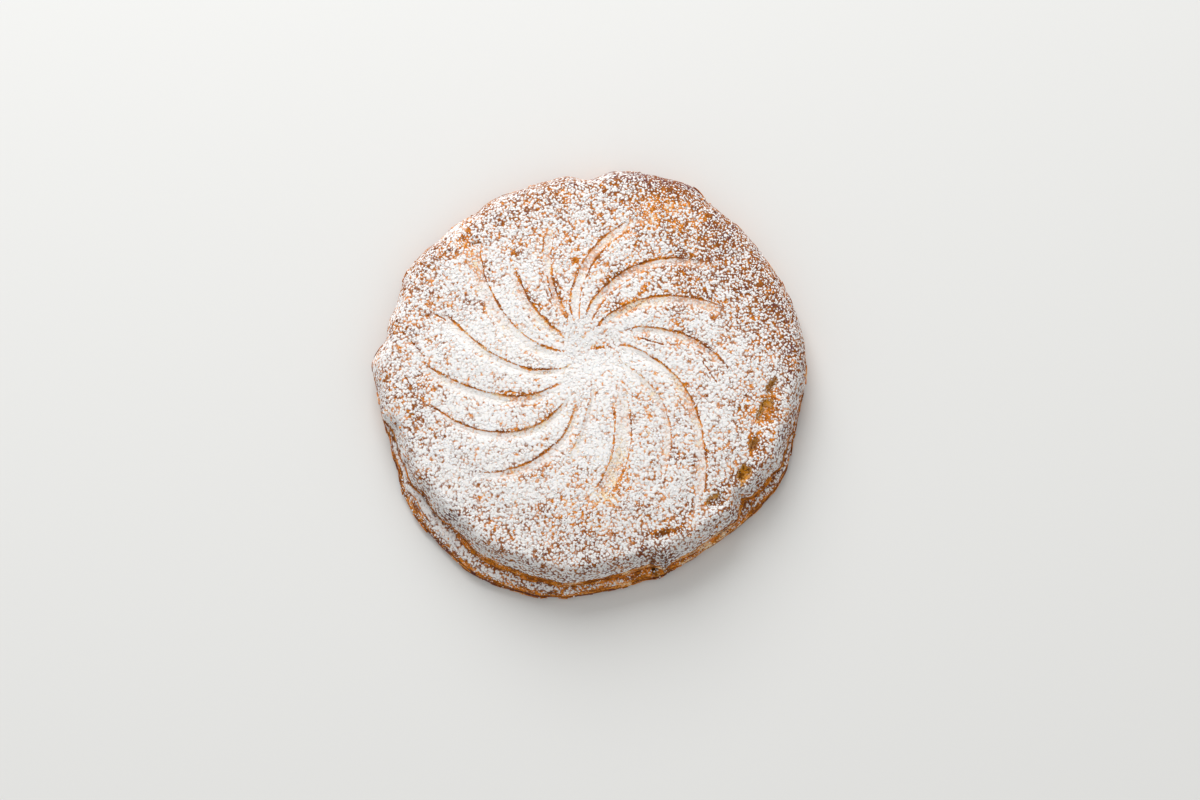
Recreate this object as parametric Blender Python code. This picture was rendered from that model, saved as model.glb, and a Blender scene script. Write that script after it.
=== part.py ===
"""Domed puff-pastry cake with a spiral of scored grooves, as one solid.

Metres, +Z up, with the flat base on Z = 0 and the origin below the middle of the outline.
The lid's lattice runs out from the hub of the spiral, so that its columns follow the grooves.
"""
import math

import bmesh
import bpy
from mathutils import Vector, noise

MM = 0.001
NAME = "galette"
FULL_TURN = 360.0

# Outline of the lower sheet: mean radius, waves (order, size, bearing of a crest) and local
# lobes and notches (bearing, spread, size). Lengths in millimetres, bearings in degrees.
MEAN_RADIUS = 120.3
OUTLINE_WAVES = ((1, 0.9, 94.0), (2, 3.3, 42.0), (3, 1.2, 8.0), (4, 2.0, 65.0))
OUTLINE_LOBES = (
    (14.0, 9.0, 1.2),
    (36.0, 5.0, -0.8),
    (50.0, 15.0, -2.1),
    (57.0, 3.0, -1.4),
    (63.0, 6.0, 2.7),
    (74.0, 7.0, 1.0),
    (90.5, 4.0, -3.8),
    (109.0, 5.0, -0.9),
    (119.0, 5.0, 1.0),
    (124.0, 3.5, -2.0),
    (137.0, 3.0, -0.8),
    (148.0, 8.0, 3.0),
    (152.0, 20.0, -2.2),
    (157.0, 6.0, -1.4),
    (168.3, 2.6, -2.2),
    (175.5, 5.0, 3.8),
    (197.0, 10.0, -0.9),
    (214.0, 8.0, 2.2),
    (238.0, 8.0, 1.3),
    (257.0, 4.0, 0.8),
    (284.0, 4.5, -0.2),
    (290.5, 2.6, 2.2),
    (298.7, 3.0, 1.5),
    (318.0, 9.0, 0.9),
    (331.0, 8.0, 2.4),
    (336.5, 4.0, 1.0),
    (348.0, 9.0, -1.7),
)

# Steps between the lid's lip and the lower sheet's edge, which add up where they meet:
# (from, to, width, softness of the start, softness of the end).
LEDGES = (
    (192.0, 290.9, 5.2, 3.0, 0.6),
    (203.5, 214.0, 1.9, 1.5, 6.0),
    (211.5, 259.5, 6.2, 3.5, 4.0),
    (224.5, 232.0, 1.8, 1.2, 3.0),
    (231.0, 250.0, 1.8, 4.0, 6.0),
    (258.0, 290.9, 2.9, 3.0, 0.6),
    (266.0, 279.0, 0.9, 3.0, 3.0),
    (288.6, 290.9, 1.8, 1.5, 0.6),
    (290.9, 344.0, 3.9, 0.6, 3.0),
    (296.0, 301.0, 1.3, 1.5, 1.5),
    (306.5, 335.0, 0.8, 2.0, 2.0),
    (319.5, 323.2, 8.1, 2.8, 1.8),
    (323.0, 334.0, 3.6, 1.5, 3.5),
    (332.0, 341.0, 1.0, 2.0, 2.0),
    (343.0, 357.0, 2.2, 2.0, 3.0),
)

# Hub of the spiral and the height of the lid over the fraction of the way out to the lip.
HUB = (1.3, 14.2)
CROWN_HEIGHT = 35.0
SHOULDER_HEIGHT = 27.0
CROWN_POWER = 2.3
LIP_HEIGHT = 14.2
LIP_ROLL = 0.09
LIP_ROLL_POWER = 2.2
HUB_DIP = 1.6
HUB_DIP_RADIUS = 13.0

# Grooves: inner and outer distance from the hub, bearing at each, bow of the line, width, depth,
# and whether the line is the groove's middle (0) or its upper edge (1).
GROOVES = (
    (24.0, 79.0, 389.0, 351.0, 2.0, 5.5, 0.6, 1.0),
    (15.0, 79.0, 432.0, 378.8, -3.2, 6.8, 0.66, 1.0),
    (19.0, 83.0, 454.0, 397.4, 1.7, 6.2, 0.66, 1.0),
    (19.0, 82.0, 475.5, 428.0, 1.0, 6.0, 0.6, 0.0),
    (27.0, 78.0, 488.5, 466.0, 1.0, 5.0, 0.48, 0.0),
    (20.0, 66.0, 517.0, 494.0, -2.0, 6.0, 0.6, 0.2),
    (17.0, 90.0, 542.0, 496.0, -4.0, 8.6, 0.72, 1.0),
    (15.0, 90.0, 573.0, 522.0, -6.0, 5.6, 0.6, 1.0),
    (28.0, 98.0, 586.0, 541.0, -4.0, 6.4, 0.66, 1.0),
    (31.8, 94.6, 603.0, 556.0, 4.0, 6.0, 0.66, 1.0),
    (32.2, 96.0, 614.5, 582.0, 4.5, 6.6, 0.66, 1.0),
    (17.0, 62.0, 635.0, 620.0, -2.0, 4.5, 0.3, 0.0),
    (27.0, 82.0, 662.3, 631.5, 0.5, 9.0, 0.6, 0.0),
    (19.0, 82.0, 693.0, 654.5, 6.0, 5.0, 0.36, 0.0),
    (18.0, 106.0, 727.0, 661.0, 0.0, 6.0, 0.66, 1.0),
)
SWEEP_PER_MM = -0.66
UPWARD = 78.0
SIDE_GAIN = 2.4
EDGE_SHIFT_RUN = 22.0
GROOVE_FADE_IN = 9.0
GROOVE_FADE_OUT = 15.0
GROOVE_OVERRUN = 5.0
GROOVE_FLOOR = 0.42
GROOVE_SHARE = 0.62
PETAL_RISE = 1.0
PETAL_ROUNDING = 0.7
PETAL_START = 8.0
PETAL_FULL = 30.0
PETAL_END = 84.0
PETAL_GONE = 112.0
SPIRAL_CALM = 0.84
LID_CALM = 0.9

# Pits in the lid: x, y, half length, half width, turn, depth.
PITS = (
    (100.5, -4.2, 5.4, 2.8, 62.0, 3.4),
    (97.5, -19.3, 9.4, 5.4, 75.0, 2.8),
    (90.4, -37.2, 4.4, 2.8, 60.0, 2.6),
    (84.8, -53.2, 6.0, 4.4, 66.0, 3.8),
    (69.4, -68.0, 6.0, 4.4, 24.0, 2.6),
    (40.5, -85.8, 5.0, 2.2, 20.0, 1.4),
    (-63.5, 75.5, 3.4, 2.2, 10.0, 1.2),
)
PIT_FLOOR = 0.35
PIT_BRIM = 1.25

# Rim below the lip, from the lip down: share of the ledge, further inset, height, layer relief.
RIM_STATIONS = (
    (0.93, 0.0, 12.7, 0.5),
    (0.85, 0.5, 11.7, -0.5),
    (0.76, 0.1, 10.7, 0.5),
    (0.69, 0.9, 9.9, -0.1),
    (0.66, 1.2, 9.4, 0.0),
    (0.52, 0.5, 9.6, 0.0),
    (0.36, 0.1, 9.1, 0.4),
    (0.24, 0.5, 7.6, -0.5),
    (0.14, 0.0, 6.2, 0.6),
    (0.08, 0.6, 4.6, -0.5),
    (0.02, 0.0, 3.2, 0.6),
    (0.0, 0.5, 1.7, -0.4),
    (0.03, 1.4, 0.6, 0.2),
    (0.08, 3.0, 0.0, 0.0),
)
LAYER_WAVE = 14.0
CRAG_SIZE = 0.7
CRAG_WAVE = 9.0
CRAG_LEVEL = 3.0
CRAG_SHIFT = 0.12
LUMP_SIZE = 0.7
LUMP_WAVE = 26.0
SMALL_LUMP_SIZE = 0.22
SMALL_LUMP_WAVE = 7.0

# Lattice: columns for each groove, rings of the lid, and how both crowd together.
COLUMNS_PER_GROOVE = 10
EDGE_COLUMNS = (-0.5, -0.27, 0.0, 0.27, 0.5)
EDGE_MARGIN = 1.15
LID_RINGS = 25
RING_CROWDING = 1.22
RELAX_FROM = 0.8
RELAX_TO = 0.99
EVEN_START = -33.0
EVEN_SHARE = 0.65
PIT_CROWD_BEARING = -28.0
PIT_CROWD_SPREAD = 34.0
PIT_CROWD = 0.38
SETTLE_STEPS = 6
MERGE = 0.0001


def wrap(angle):
    """Bring a bearing into the range -180 to 180 degrees."""
    return (angle + 180.0) % FULL_TURN - 180.0


def smooth(start, end, value):
    """Rise from 0 at the start to 1 at the end, with no kink."""
    share = min(max((value - start) / (end - start), 0.0), 1.0)
    return share * share * (3.0 - 2.0 * share)


def mix(low, high, share):
    """Blend two values."""
    return low + (high - low) * share


def point_at(bearing, radius):
    """Turn a bearing and a radius about the origin into x and y."""
    angle = math.radians(bearing)
    return radius * math.cos(angle), radius * math.sin(angle)


def sheet_radius(bearing):
    """Radius of the lower sheet's edge about the origin."""
    radius = MEAN_RADIUS
    for order, size, crest in OUTLINE_WAVES:
        radius += size * math.cos(math.radians(order * (bearing - crest)))
    for centre, spread, size in OUTLINE_LOBES:
        radius += size * math.exp(-(wrap(bearing - centre) / spread) ** 2)
    return radius


def ledge_width(bearing):
    """Width of the step between the lid's lip and the lower sheet's edge."""
    turn = bearing % FULL_TURN
    width = 0.0
    for start, end, size, rising, falling in LEDGES:
        rise = smooth(start - rising, start + rising, turn)
        fall = smooth(end - falling, end + falling, turn)
        width += size * (rise - fall)
    return width


def crags(bearing, wave, size, level):
    """Ragged in-and-out of the rim along its length, different at each level."""
    x, y = point_at(bearing, MEAN_RADIUS / wave)
    return size * noise.noise(Vector((x, y, level)))


def lip_radius(bearing):
    """Radius of the lid's lip about the origin."""
    ledge = ledge_width(bearing)
    return sheet_radius(bearing) - ledge + crags(bearing, CRAG_WAVE, CRAG_SIZE, CRAG_LEVEL)


def lip_distance(bearing):
    """Distance from the hub to the lid's lip along a bearing, by closing in on it."""
    angle = math.radians(bearing)
    distance = MEAN_RADIUS
    for _ in range(SETTLE_STEPS):
        x = HUB[0] + distance * math.cos(angle)
        y = HUB[1] + distance * math.sin(angle)
        aim = lip_radius(math.degrees(math.atan2(y, x)))
        distance += aim - math.hypot(x, y)
    return distance


def sweep_lean(distance):
    """How far a groove leans from straight outwards, as an angle in radians."""
    return math.atan(math.radians(SWEEP_PER_MM) * distance)


def upper_side(bearing, distance):
    """1 where a groove's upper edge is on the side of larger bearings, -1 on the other side."""
    across = math.radians(bearing + 90.0 - UPWARD) + sweep_lean(distance)
    return min(max(SIDE_GAIN * math.cos(across), -1.0), 1.0)


def groove_bearing(groove, distance):
    """Bearing of a groove's middle about the hub, carried on along the common sweep."""
    inner, outer, start, end, bow, width, _, edge = groove
    share = min(max((distance - inner) / (outer - inner), 0.0), 1.0)
    beyond = distance - min(max(distance, inner), outer)
    bearing = mix(start, end, share) + bow * 4.0 * share * (1.0 - share) + beyond * SWEEP_PER_MM
    shift = 0.5 * edge * width * smooth(inner - GROOVE_FADE_IN, inner + EDGE_SHIFT_RUN, distance)
    shift *= upper_side(bearing, distance)
    arc = max(distance, 1.0) * math.cos(sweep_lean(distance))
    return bearing - math.degrees(shift / arc)


def groove_strength(groove, distance):
    """1 along the groove and 0 beyond its two ends."""
    inner, outer = groove[:2]
    rise = smooth(inner - GROOVE_FADE_IN, inner + GROOVE_FADE_IN, distance)
    return rise * (1.0 - smooth(outer - GROOVE_FADE_OUT, outer + GROOVE_OVERRUN, distance))


def gap_to_next(index, distance):
    """Angle from a groove to the next one round, at a distance from the hub."""
    following = GROOVES[(index + 1) % len(GROOVES)]
    gap = groove_bearing(following, distance) - groove_bearing(GROOVES[index], distance)
    return gap % FULL_TURN


def groove_width(index, distance):
    """Width across a groove, held to a share of the gaps beside it near the hub."""
    gap = min(gap_to_next(index, distance), gap_to_next(index - 1, distance))
    return min(GROOVES[index][5], GROOVE_SHARE * math.radians(gap) * distance)


def groove_cut(across, width):
    """Depth of a groove as a share of its full depth: a flat floor and two steep sides."""
    return 1.0 - smooth(GROOVE_FLOOR * width / 2.0, width / 2.0, abs(across))


def spiral_relief(bearing, distance):
    """Height of the petals and grooves at a bearing and distance about the hub."""
    relief = 0.0
    petals = smooth(PETAL_START, PETAL_FULL, distance)
    petals *= 1.0 - smooth(PETAL_END, PETAL_GONE, distance)
    for index, groove in enumerate(GROOVES):
        offset = wrap(bearing - groove_bearing(groove, distance))
        across = math.radians(offset) * distance * math.cos(sweep_lean(distance))
        width = groove_width(index, distance)
        if width > 0.0:
            depth = groove[6] * width / groove[5]
            relief -= depth * groove_strength(groove, distance) * groove_cut(across, width)
        gap = gap_to_next(index, distance)
        share = (offset % FULL_TURN) / gap if gap > 0.0 else 1.0
        if share < 1.0:
            following = GROOVES[(index + 1) % len(GROOVES)]
            ends = groove_strength(groove, distance), groove_strength(following, distance)
            valley = mix(*ends, share) * (1.0 - (4.0 * share * (1.0 - share)) ** PETAL_ROUNDING)
            relief += PETAL_RISE * petals * (1.0 - valley)
    return relief


def pit_relief(x, y):
    """Height of the small pits in the lid, all at or below zero."""
    relief = 0.0
    for centre_x, centre_y, half_length, half_width, turn, depth in PITS:
        angle = math.radians(turn)
        along = (x - centre_x) * math.cos(angle) + (y - centre_y) * math.sin(angle)
        aside = (y - centre_y) * math.cos(angle) - (x - centre_x) * math.sin(angle)
        reach = math.hypot(along / half_length, aside / half_width)
        relief -= depth * (1.0 - smooth(PIT_FLOOR, PIT_BRIM, reach))
    return relief


def crown(share, distance):
    """Height of the plain dome over the share of the way from the hub to the lip."""
    height = mix(CROWN_HEIGHT, SHOULDER_HEIGHT, share ** CROWN_POWER)
    height -= HUB_DIP * math.exp(-(distance / HUB_DIP_RADIUS) ** 2)
    roll = max((share - 1.0 + LIP_ROLL) / LIP_ROLL, 0.0)
    return height - (SHOULDER_HEIGHT - LIP_HEIGHT) * roll ** LIP_ROLL_POWER


def lumps(x, y):
    """Gentle unevenness of the baked lid."""
    wide = Vector((x / LUMP_WAVE, y / LUMP_WAVE, 1.0))
    narrow = Vector((x / SMALL_LUMP_WAVE, y / SMALL_LUMP_WAVE, 2.0))
    return LUMP_SIZE * noise.noise(wide) + SMALL_LUMP_SIZE * noise.noise(narrow)


def lid_point(bearing, share):
    """A point of the lid at a bearing about the hub and a share of the way to the lip."""
    distance = share * lip_distance(bearing)
    angle = math.radians(bearing)
    x = HUB[0] + distance * math.cos(angle)
    y = HUB[1] + distance * math.sin(angle)
    relief = lumps(x, y) + pit_relief(x, y)
    relief += spiral_relief(bearing, distance) * (1.0 - smooth(SPIRAL_CALM, 1.0, share))
    return x, y, crown(share, distance) + relief * (1.0 - smooth(LID_CALM, 1.0, share))


def rim_point(bearing, station):
    """A point of the rim at a bearing about the origin, at one of the stations down it."""
    ledge_share, inset, height, relief = RIM_STATIONS[station]
    radius = sheet_radius(bearing) - ledge_share * ledge_width(bearing) - inset
    radius += crags(bearing, LAYER_WAVE, relief, float(station))
    radius += crags(bearing, CRAG_WAVE, CRAG_SIZE, CRAG_LEVEL + CRAG_SHIFT * station)
    x, y = point_at(bearing, radius)
    return x, y, height


def column_bearing(index, distance, share):
    """Bearing of a column about the hub: crowded along its groove, even near the lip."""
    groove, place = divmod(index, COLUMNS_PER_GROOVE)
    middle = groove_bearing(GROOVES[groove], distance)
    gap = gap_to_next(groove, distance)
    half = len(EDGE_COLUMNS) // 2
    open_columns = COLUMNS_PER_GROOVE - len(EDGE_COLUMNS)
    arc = max(distance, 1.0)
    following = (groove + 1) % len(GROOVES)
    own = math.degrees(EDGE_MARGIN * groove_width(groove, distance) / arc)
    other = math.degrees(EDGE_MARGIN * groove_width(following, distance) / arc)
    if place <= half:
        crowded = EDGE_COLUMNS[half + place] * own
    elif place > half + open_columns:
        crowded = gap + EDGE_COLUMNS[place - half - open_columns - 1] * other
    else:
        free = (place - half) / (open_columns + 1)
        crowded = mix(0.5 * own, gap - 0.5 * other, free)
    even = gap * place / COLUMNS_PER_GROOVE
    relax = smooth(RELAX_FROM, RELAX_TO, share)
    return middle + mix(crowded, even, relax)


def even_out(index, bearing, distance, share):
    """Ease the columns towards an even spacing at the lip, crowded beside the pits."""
    total = COLUMNS_PER_GROOVE * len(GROOVES)
    target = EVEN_START + FULL_TURN * index / total
    target += SWEEP_PER_MM * (distance - MEAN_RADIUS)
    from_pits = wrap(target - PIT_CROWD_BEARING)
    target -= PIT_CROWD * from_pits * math.exp(-(from_pits / PIT_CROWD_SPREAD) ** 2)
    return bearing + wrap(target - bearing) * EVEN_SHARE * smooth(RELAX_FROM, 1.0, share)


def settle(index, share):
    """Bearing about the hub at which a column meets a ring, by closing in on it."""
    bearing = column_bearing(index, share * MEAN_RADIUS, share)
    for _ in range(SETTLE_STEPS):
        distance = share * lip_distance(bearing)
        bearing = even_out(index, column_bearing(index, distance, share), distance, share)
    return bearing


def lattice():
    """Spin a row of points into a disc whose rings and columns are counted in whole steps."""
    mesh = bmesh.new()
    rings = LID_RINGS + len(RIM_STATIONS)
    columns = COLUMNS_PER_GROOVE * len(GROOVES)
    row = [mesh.verts.new((float(ring), 0.0, 0.0)) for ring in range(rings + 1)]
    edges = [mesh.edges.new(pair) for pair in zip(row, row[1:])]
    bmesh.ops.spin(
        mesh,
        geom=row + edges,
        cent=(0.0, 0.0, 0.0),
        axis=(0.0, 0.0, 1.0),
        angle=math.radians(FULL_TURN),
        steps=columns,
        use_merge=True,
    )
    bmesh.ops.remove_doubles(mesh, verts=mesh.verts[:], dist=MERGE)
    return mesh


def place_lattice(mesh):
    """Move every point of the disc to its place on the lid or the rim."""
    columns = COLUMNS_PER_GROOVE * len(GROOVES)
    lip_bearings = []
    for index in range(columns):
        x, y, _ = lid_point(settle(index, 1.0), 1.0)
        lip_bearings.append(math.degrees(math.atan2(y, x)))
    for vertex in mesh.verts:
        ring = round(vertex.co.length)
        angle = math.degrees(math.atan2(vertex.co.y, vertex.co.x))
        index = round(angle / FULL_TURN * columns) % columns
        if ring <= LID_RINGS:
            share = 1.0 - (1.0 - ring / LID_RINGS) ** RING_CROWDING
            place = lid_point(settle(index, share), share)
        else:
            place = rim_point(lip_bearings[index], ring - LID_RINGS - 1)
        vertex.co = Vector(place) * MM


def centre(mesh):
    """Move the middle of the outline's bounding box onto the origin."""
    middle = Vector((0.0, 0.0, 0.0))
    for axis in range(2):
        places = [vertex.co[axis] for vertex in mesh.verts]
        middle[axis] = (min(places) + max(places)) / 2.0
    bmesh.ops.translate(mesh, verts=mesh.verts[:], vec=-middle)


def close_base(mesh):
    """Close the flat base with one face."""
    rim_edges = [edge for edge in mesh.edges if edge.is_boundary]
    bmesh.ops.contextual_create(mesh, geom=rim_edges)
    bmesh.ops.recalc_face_normals(mesh, faces=mesh.faces[:])


def crust_material():
    """Plain baked crust."""
    material = bpy.data.materials.new("crust")
    material.use_nodes = True
    shader = material.node_tree.nodes["Principled BSDF"]
    shader.inputs["Base Color"].default_value = (0.62, 0.33, 0.12, 1.0)
    shader.inputs["Roughness"].default_value = 0.62
    return material


def build_pastry(collection):
    """Make the one solid of the cake."""
    mesh = lattice()
    place_lattice(mesh)
    centre(mesh)
    close_base(mesh)
    data = bpy.data.meshes.new(NAME)
    mesh.to_mesh(data)
    mesh.free()
    for face in data.polygons:
        face.use_smooth = len(face.vertices) <= 4
    data.materials.append(crust_material())
    pastry = bpy.data.objects.new(NAME, data)
    collection.objects.link(pastry)
    return pastry


def main():
    """Clear the scene and build the cake."""
    for old in list(bpy.data.objects):
        bpy.data.objects.remove(old, do_unlink=True)
    collection = bpy.data.collections.new("galette_des_rois")
    bpy.context.scene.collection.children.link(collection)
    build_pastry(collection)


main()
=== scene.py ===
"""Looks of a whole round puff-pastry cake: baked, flaky crust, a scored swirl and icing sugar.

Metres, +Z up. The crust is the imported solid's own lattice with many more rings and columns.
"""
import math

import bmesh
import bpy
import numpy as np
from bpy.props import FloatProperty, FloatVectorProperty, IntProperty, PointerProperty
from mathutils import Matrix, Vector, noise


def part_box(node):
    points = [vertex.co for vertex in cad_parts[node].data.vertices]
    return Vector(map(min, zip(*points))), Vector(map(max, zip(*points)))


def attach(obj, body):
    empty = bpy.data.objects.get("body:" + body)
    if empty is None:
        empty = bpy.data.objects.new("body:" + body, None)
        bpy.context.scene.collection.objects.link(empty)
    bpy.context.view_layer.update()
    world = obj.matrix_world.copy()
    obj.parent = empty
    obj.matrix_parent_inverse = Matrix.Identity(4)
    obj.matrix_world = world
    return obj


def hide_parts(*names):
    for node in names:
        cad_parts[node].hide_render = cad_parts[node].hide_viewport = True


bl_info = {
    "name": "Galette des rois",
    "version": (1, 0, 0),
    "blender": (4, 5, 0),
    "location": "View3D > Sidebar > Galette",
    "description": "Builds the crust, flakes, crumbs and icing sugar of a round puff-pastry cake",
    "category": "Object",
}

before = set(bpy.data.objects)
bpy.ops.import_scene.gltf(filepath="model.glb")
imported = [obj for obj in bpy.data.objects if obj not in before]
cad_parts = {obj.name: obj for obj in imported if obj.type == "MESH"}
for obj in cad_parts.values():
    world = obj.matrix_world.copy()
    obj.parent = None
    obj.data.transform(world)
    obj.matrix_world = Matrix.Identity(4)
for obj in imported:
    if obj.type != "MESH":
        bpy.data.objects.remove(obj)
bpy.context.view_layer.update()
NODE = "galette"
BODY = "root"
MM = 0.001
FULL_TURN = 360.0

# ---- The cake's shape, as in its solid: lengths in millimetres, bearings in degrees. ----

# Outline of the lower sheet: broad waves of order, size and crest; lobes of bearing, spread, size.
MEAN_RADIUS = 120.3
OUTLINE_WAVES = ((1, 0.9, 94.0), (2, 3.3, 42.0), (3, 1.2, 8.0), (4, 2.0, 65.0))
OUTLINE_LOBES = (
    (14.0, 9.0, 1.2),
    (36.0, 5.0, -0.8),
    (50.0, 15.0, -2.1),
    (57.0, 3.0, -1.4),
    (63.0, 6.0, 2.7),
    (74.0, 7.0, 1.0),
    (90.5, 4.0, -3.8),
    (109.0, 5.0, -0.9),
    (119.0, 5.0, 1.0),
    (124.0, 3.5, -2.0),
    (137.0, 3.0, -0.8),
    (148.0, 8.0, 3.0),
    (152.0, 20.0, -2.2),
    (157.0, 6.0, -1.4),
    (168.3, 2.6, -2.2),
    (175.5, 5.0, 3.8),
    (197.0, 10.0, -0.9),
    (214.0, 8.0, 2.2),
    (238.0, 8.0, 1.3),
    (257.0, 4.0, 0.8),
    (284.0, 4.5, -0.2),
    (290.5, 2.6, 2.2),
    (298.7, 3.0, 1.5),
    (318.0, 9.0, 0.9),
    (331.0, 8.0, 2.4),
    (336.5, 4.0, 1.0),
    (348.0, 9.0, -1.7),
)

# Steps of the ledge: bearings from and to, width, and how softly each end rises and falls.
LEDGES = (
    (192.0, 290.9, 5.2, 3.0, 0.6),
    (203.5, 214.0, 1.9, 1.5, 6.0),
    (211.5, 259.5, 6.2, 3.5, 4.0),
    (224.5, 232.0, 1.8, 1.2, 3.0),
    (231.0, 250.0, 1.8, 4.0, 6.0),
    (258.0, 290.9, 2.9, 3.0, 0.6),
    (266.0, 279.0, 0.9, 3.0, 3.0),
    (288.6, 290.9, 1.8, 1.5, 0.6),
    (290.9, 344.0, 3.9, 0.6, 3.0),
    (296.0, 301.0, 1.3, 1.5, 1.5),
    (306.5, 335.0, 0.8, 2.0, 2.0),
    (319.5, 323.2, 8.1, 2.8, 1.8),
    (323.0, 334.0, 3.6, 1.5, 3.5),
    (332.0, 341.0, 1.0, 2.0, 2.0),
    (343.0, 357.0, 2.2, 2.0, 3.0),
)

# The hub's place, and the dome's heights from the hub to the lip.
HUB = (1.3, 14.2)
CROWN_HEIGHT = 35.0
SHOULDER_HEIGHT = 27.0
CROWN_POWER = 2.3
LIP_HEIGHT = 14.2
LIP_ROLL = 0.09
LIP_ROLL_POWER = 2.2
HUB_DIP = 1.6
HUB_DIP_RADIUS = 13.0

# Inner and outer distance from the hub, bearing at each, bow of the line, width, depth, and
# whether the line is the groove's middle (0) or its upper edge (1).
GROOVES = np.array((
    (24.0, 79.0, 389.0, 351.0, 2.0, 5.5, 0.6, 1.0),
    (15.0, 79.0, 432.0, 378.8, -3.2, 6.8, 0.66, 1.0),
    (19.0, 83.0, 454.0, 397.4, 1.7, 6.2, 0.66, 1.0),
    (19.0, 82.0, 475.5, 428.0, 1.0, 6.0, 0.6, 0.0),
    (27.0, 78.0, 488.5, 466.0, 1.0, 5.0, 0.48, 0.0),
    (20.0, 66.0, 517.0, 494.0, -2.0, 6.0, 0.6, 0.2),
    (17.0, 90.0, 542.0, 496.0, -4.0, 8.6, 0.72, 1.0),
    (15.0, 90.0, 573.0, 522.0, -6.0, 5.6, 0.6, 1.0),
    (28.0, 98.0, 586.0, 541.0, -4.0, 6.4, 0.66, 1.0),
    (31.8, 94.6, 603.0, 556.0, 4.0, 6.0, 0.66, 1.0),
    (32.2, 96.0, 614.5, 582.0, 4.5, 6.6, 0.66, 1.0),
    (17.0, 62.0, 635.0, 620.0, -2.0, 4.5, 0.3, 0.0),
    (27.0, 82.0, 662.3, 631.5, 0.5, 9.0, 0.6, 0.0),
    (19.0, 82.0, 693.0, 654.5, 6.0, 5.0, 0.36, 0.0),
    (18.0, 106.0, 727.0, 661.0, 0.0, 6.0, 0.66, 1.0),
))
SWEEP_PER_MM = -0.66
# Bearing on whose side each groove's crisp, dark-lined edge lies; its wall faces away from the
# light.
UPWARD = 78.0
SIDE_GAIN = 2.4
EDGE_SHIFT_RUN = 22.0
GROOVE_FADE_IN = 9.0
GROOVE_FADE_OUT = 15.0
GROOVE_OVERRUN = 5.0
GROOVE_SHARE = 0.62
PETAL_RISE = 1.0
PETAL_ROUNDING = 0.7
PETAL_START = 8.0
PETAL_FULL = 30.0
PETAL_END = 84.0
PETAL_GONE = 112.0
SPIRAL_CALM = 0.84
LID_CALM = 0.9

# Pits: x, y, half length, half width, turn, depth.
PITS = (
    (100.5, -4.2, 5.4, 2.8, 62.0, 3.4),
    (97.5, -19.3, 9.4, 5.4, 75.0, 2.8),
    (90.4, -37.2, 4.4, 2.8, 60.0, 2.6),
    (84.8, -53.2, 6.0, 4.4, 66.0, 3.8),
    (69.4, -68.0, 6.0, 4.4, 24.0, 2.6),
    (40.5, -85.8, 5.0, 2.2, 20.0, 1.4),
    (-63.5, 75.5, 3.4, 2.2, 10.0, 1.2),
)

# Rim from the lip down: share of the ledge, further inset, height, layer relief, toast, sugar.
RIM_STATIONS = np.array((
    (1.0, 0.0, 14.2, 0.0, 0.46, 0.50),
    (0.93, 0.0, 12.7, 0.5, 0.36, 0.06),
    (0.85, 0.5, 11.7, -0.5, 0.40, 0.0),
    (0.76, 0.1, 10.7, 0.5, 0.34, 0.02),
    (0.69, 0.9, 9.9, -0.1, 0.54, 0.02),
    (0.66, 1.2, 9.4, 0.0, 0.60, 0.26),
    (0.52, 0.5, 9.6, 0.0, 0.56, 0.58),
    (0.36, 0.1, 9.1, 0.4, 0.54, 0.62),
    (0.24, 0.5, 7.6, -0.5, 0.42, 0.40),
    (0.14, 0.0, 6.2, 0.6, 0.36, 0.12),
    (0.08, 0.6, 4.6, -0.5, 0.58, 0.02),
    # The last stations, down to the floor, are the darkest.
    (0.02, 0.0, 3.2, 0.6, 0.82, 0.0),
    (0.0, 0.5, 1.7, -0.4, 0.90, 0.0),
    (0.03, 1.4, 0.6, 0.2, 0.9, 0.0),
    (0.08, 3.0, 0.0, 0.0, 0.7, 0.0),
))

# Where the wall under the lip is thin and dark: bearing, spread, strength; and its stations.
THIN_WALL = (216.0, 16.0, 0.8)
THIN_WALL_TOAST = 0.22
THIN_WALL_END = (4.0, 5.0)

# Changes of browning and of sugar on the rim: x, y, reach, change.
RIM_TOAST_REGIONS = (
    (108.0, -42.0, 26.0, 0.10),
    # Lighter, more golden crust at the lower right, where the wall lies in the lid's shade: partly
    # real golden crust, partly painted light.
    (68.0, -92.0, 22.0, -0.40),
    (-60.0, 104.0, 50.0, 0.24),
    (26.0, 118.0, 60.0, 0.30),
    (-112.0, 30.0, 50.0, 0.20),
    (-98.0, -64.0, 28.0, 0.18),
    # Lighter, more golden crust along the lower side, whose wall faces away from the light: partly
    # real golden crust, partly painted light.
    (16.0, -112.0, 28.0, -0.13),
)
RIM_SUGAR_REGIONS = (
    (108.0, -46.0, 30.0, -0.02),
    (64.0, -94.0, 27.0, -0.48),
    (30.0, 118.0, 70.0, -0.10),
    (-92.0, -76.0, 36.0, 0.26),
    (18.0, -110.0, 28.0, -0.26),
)

# Changes of browning on the rim's outer edge: bearing, spread, change.
EDGE_CHARS = (
    (215.0, 4.0, -0.55),
    (230.2, 1.1, 0.35),
    (239.6, 3.4, 0.35),
    (252.6, 3.4, 0.35),
    (268.0, 1.8, 0.30),
    (275.2, 1.6, 0.35),
    (280.5, 2.6, -0.20),
    (290.6, 2.6, 0.40),
    (300.0, 2.2, 0.35),
    (306.4, 3.2, -0.55),
    (347.0, 1.6, 0.35),
)
EDGE_CHARS_FROM = (8.2, 10.4)

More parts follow.
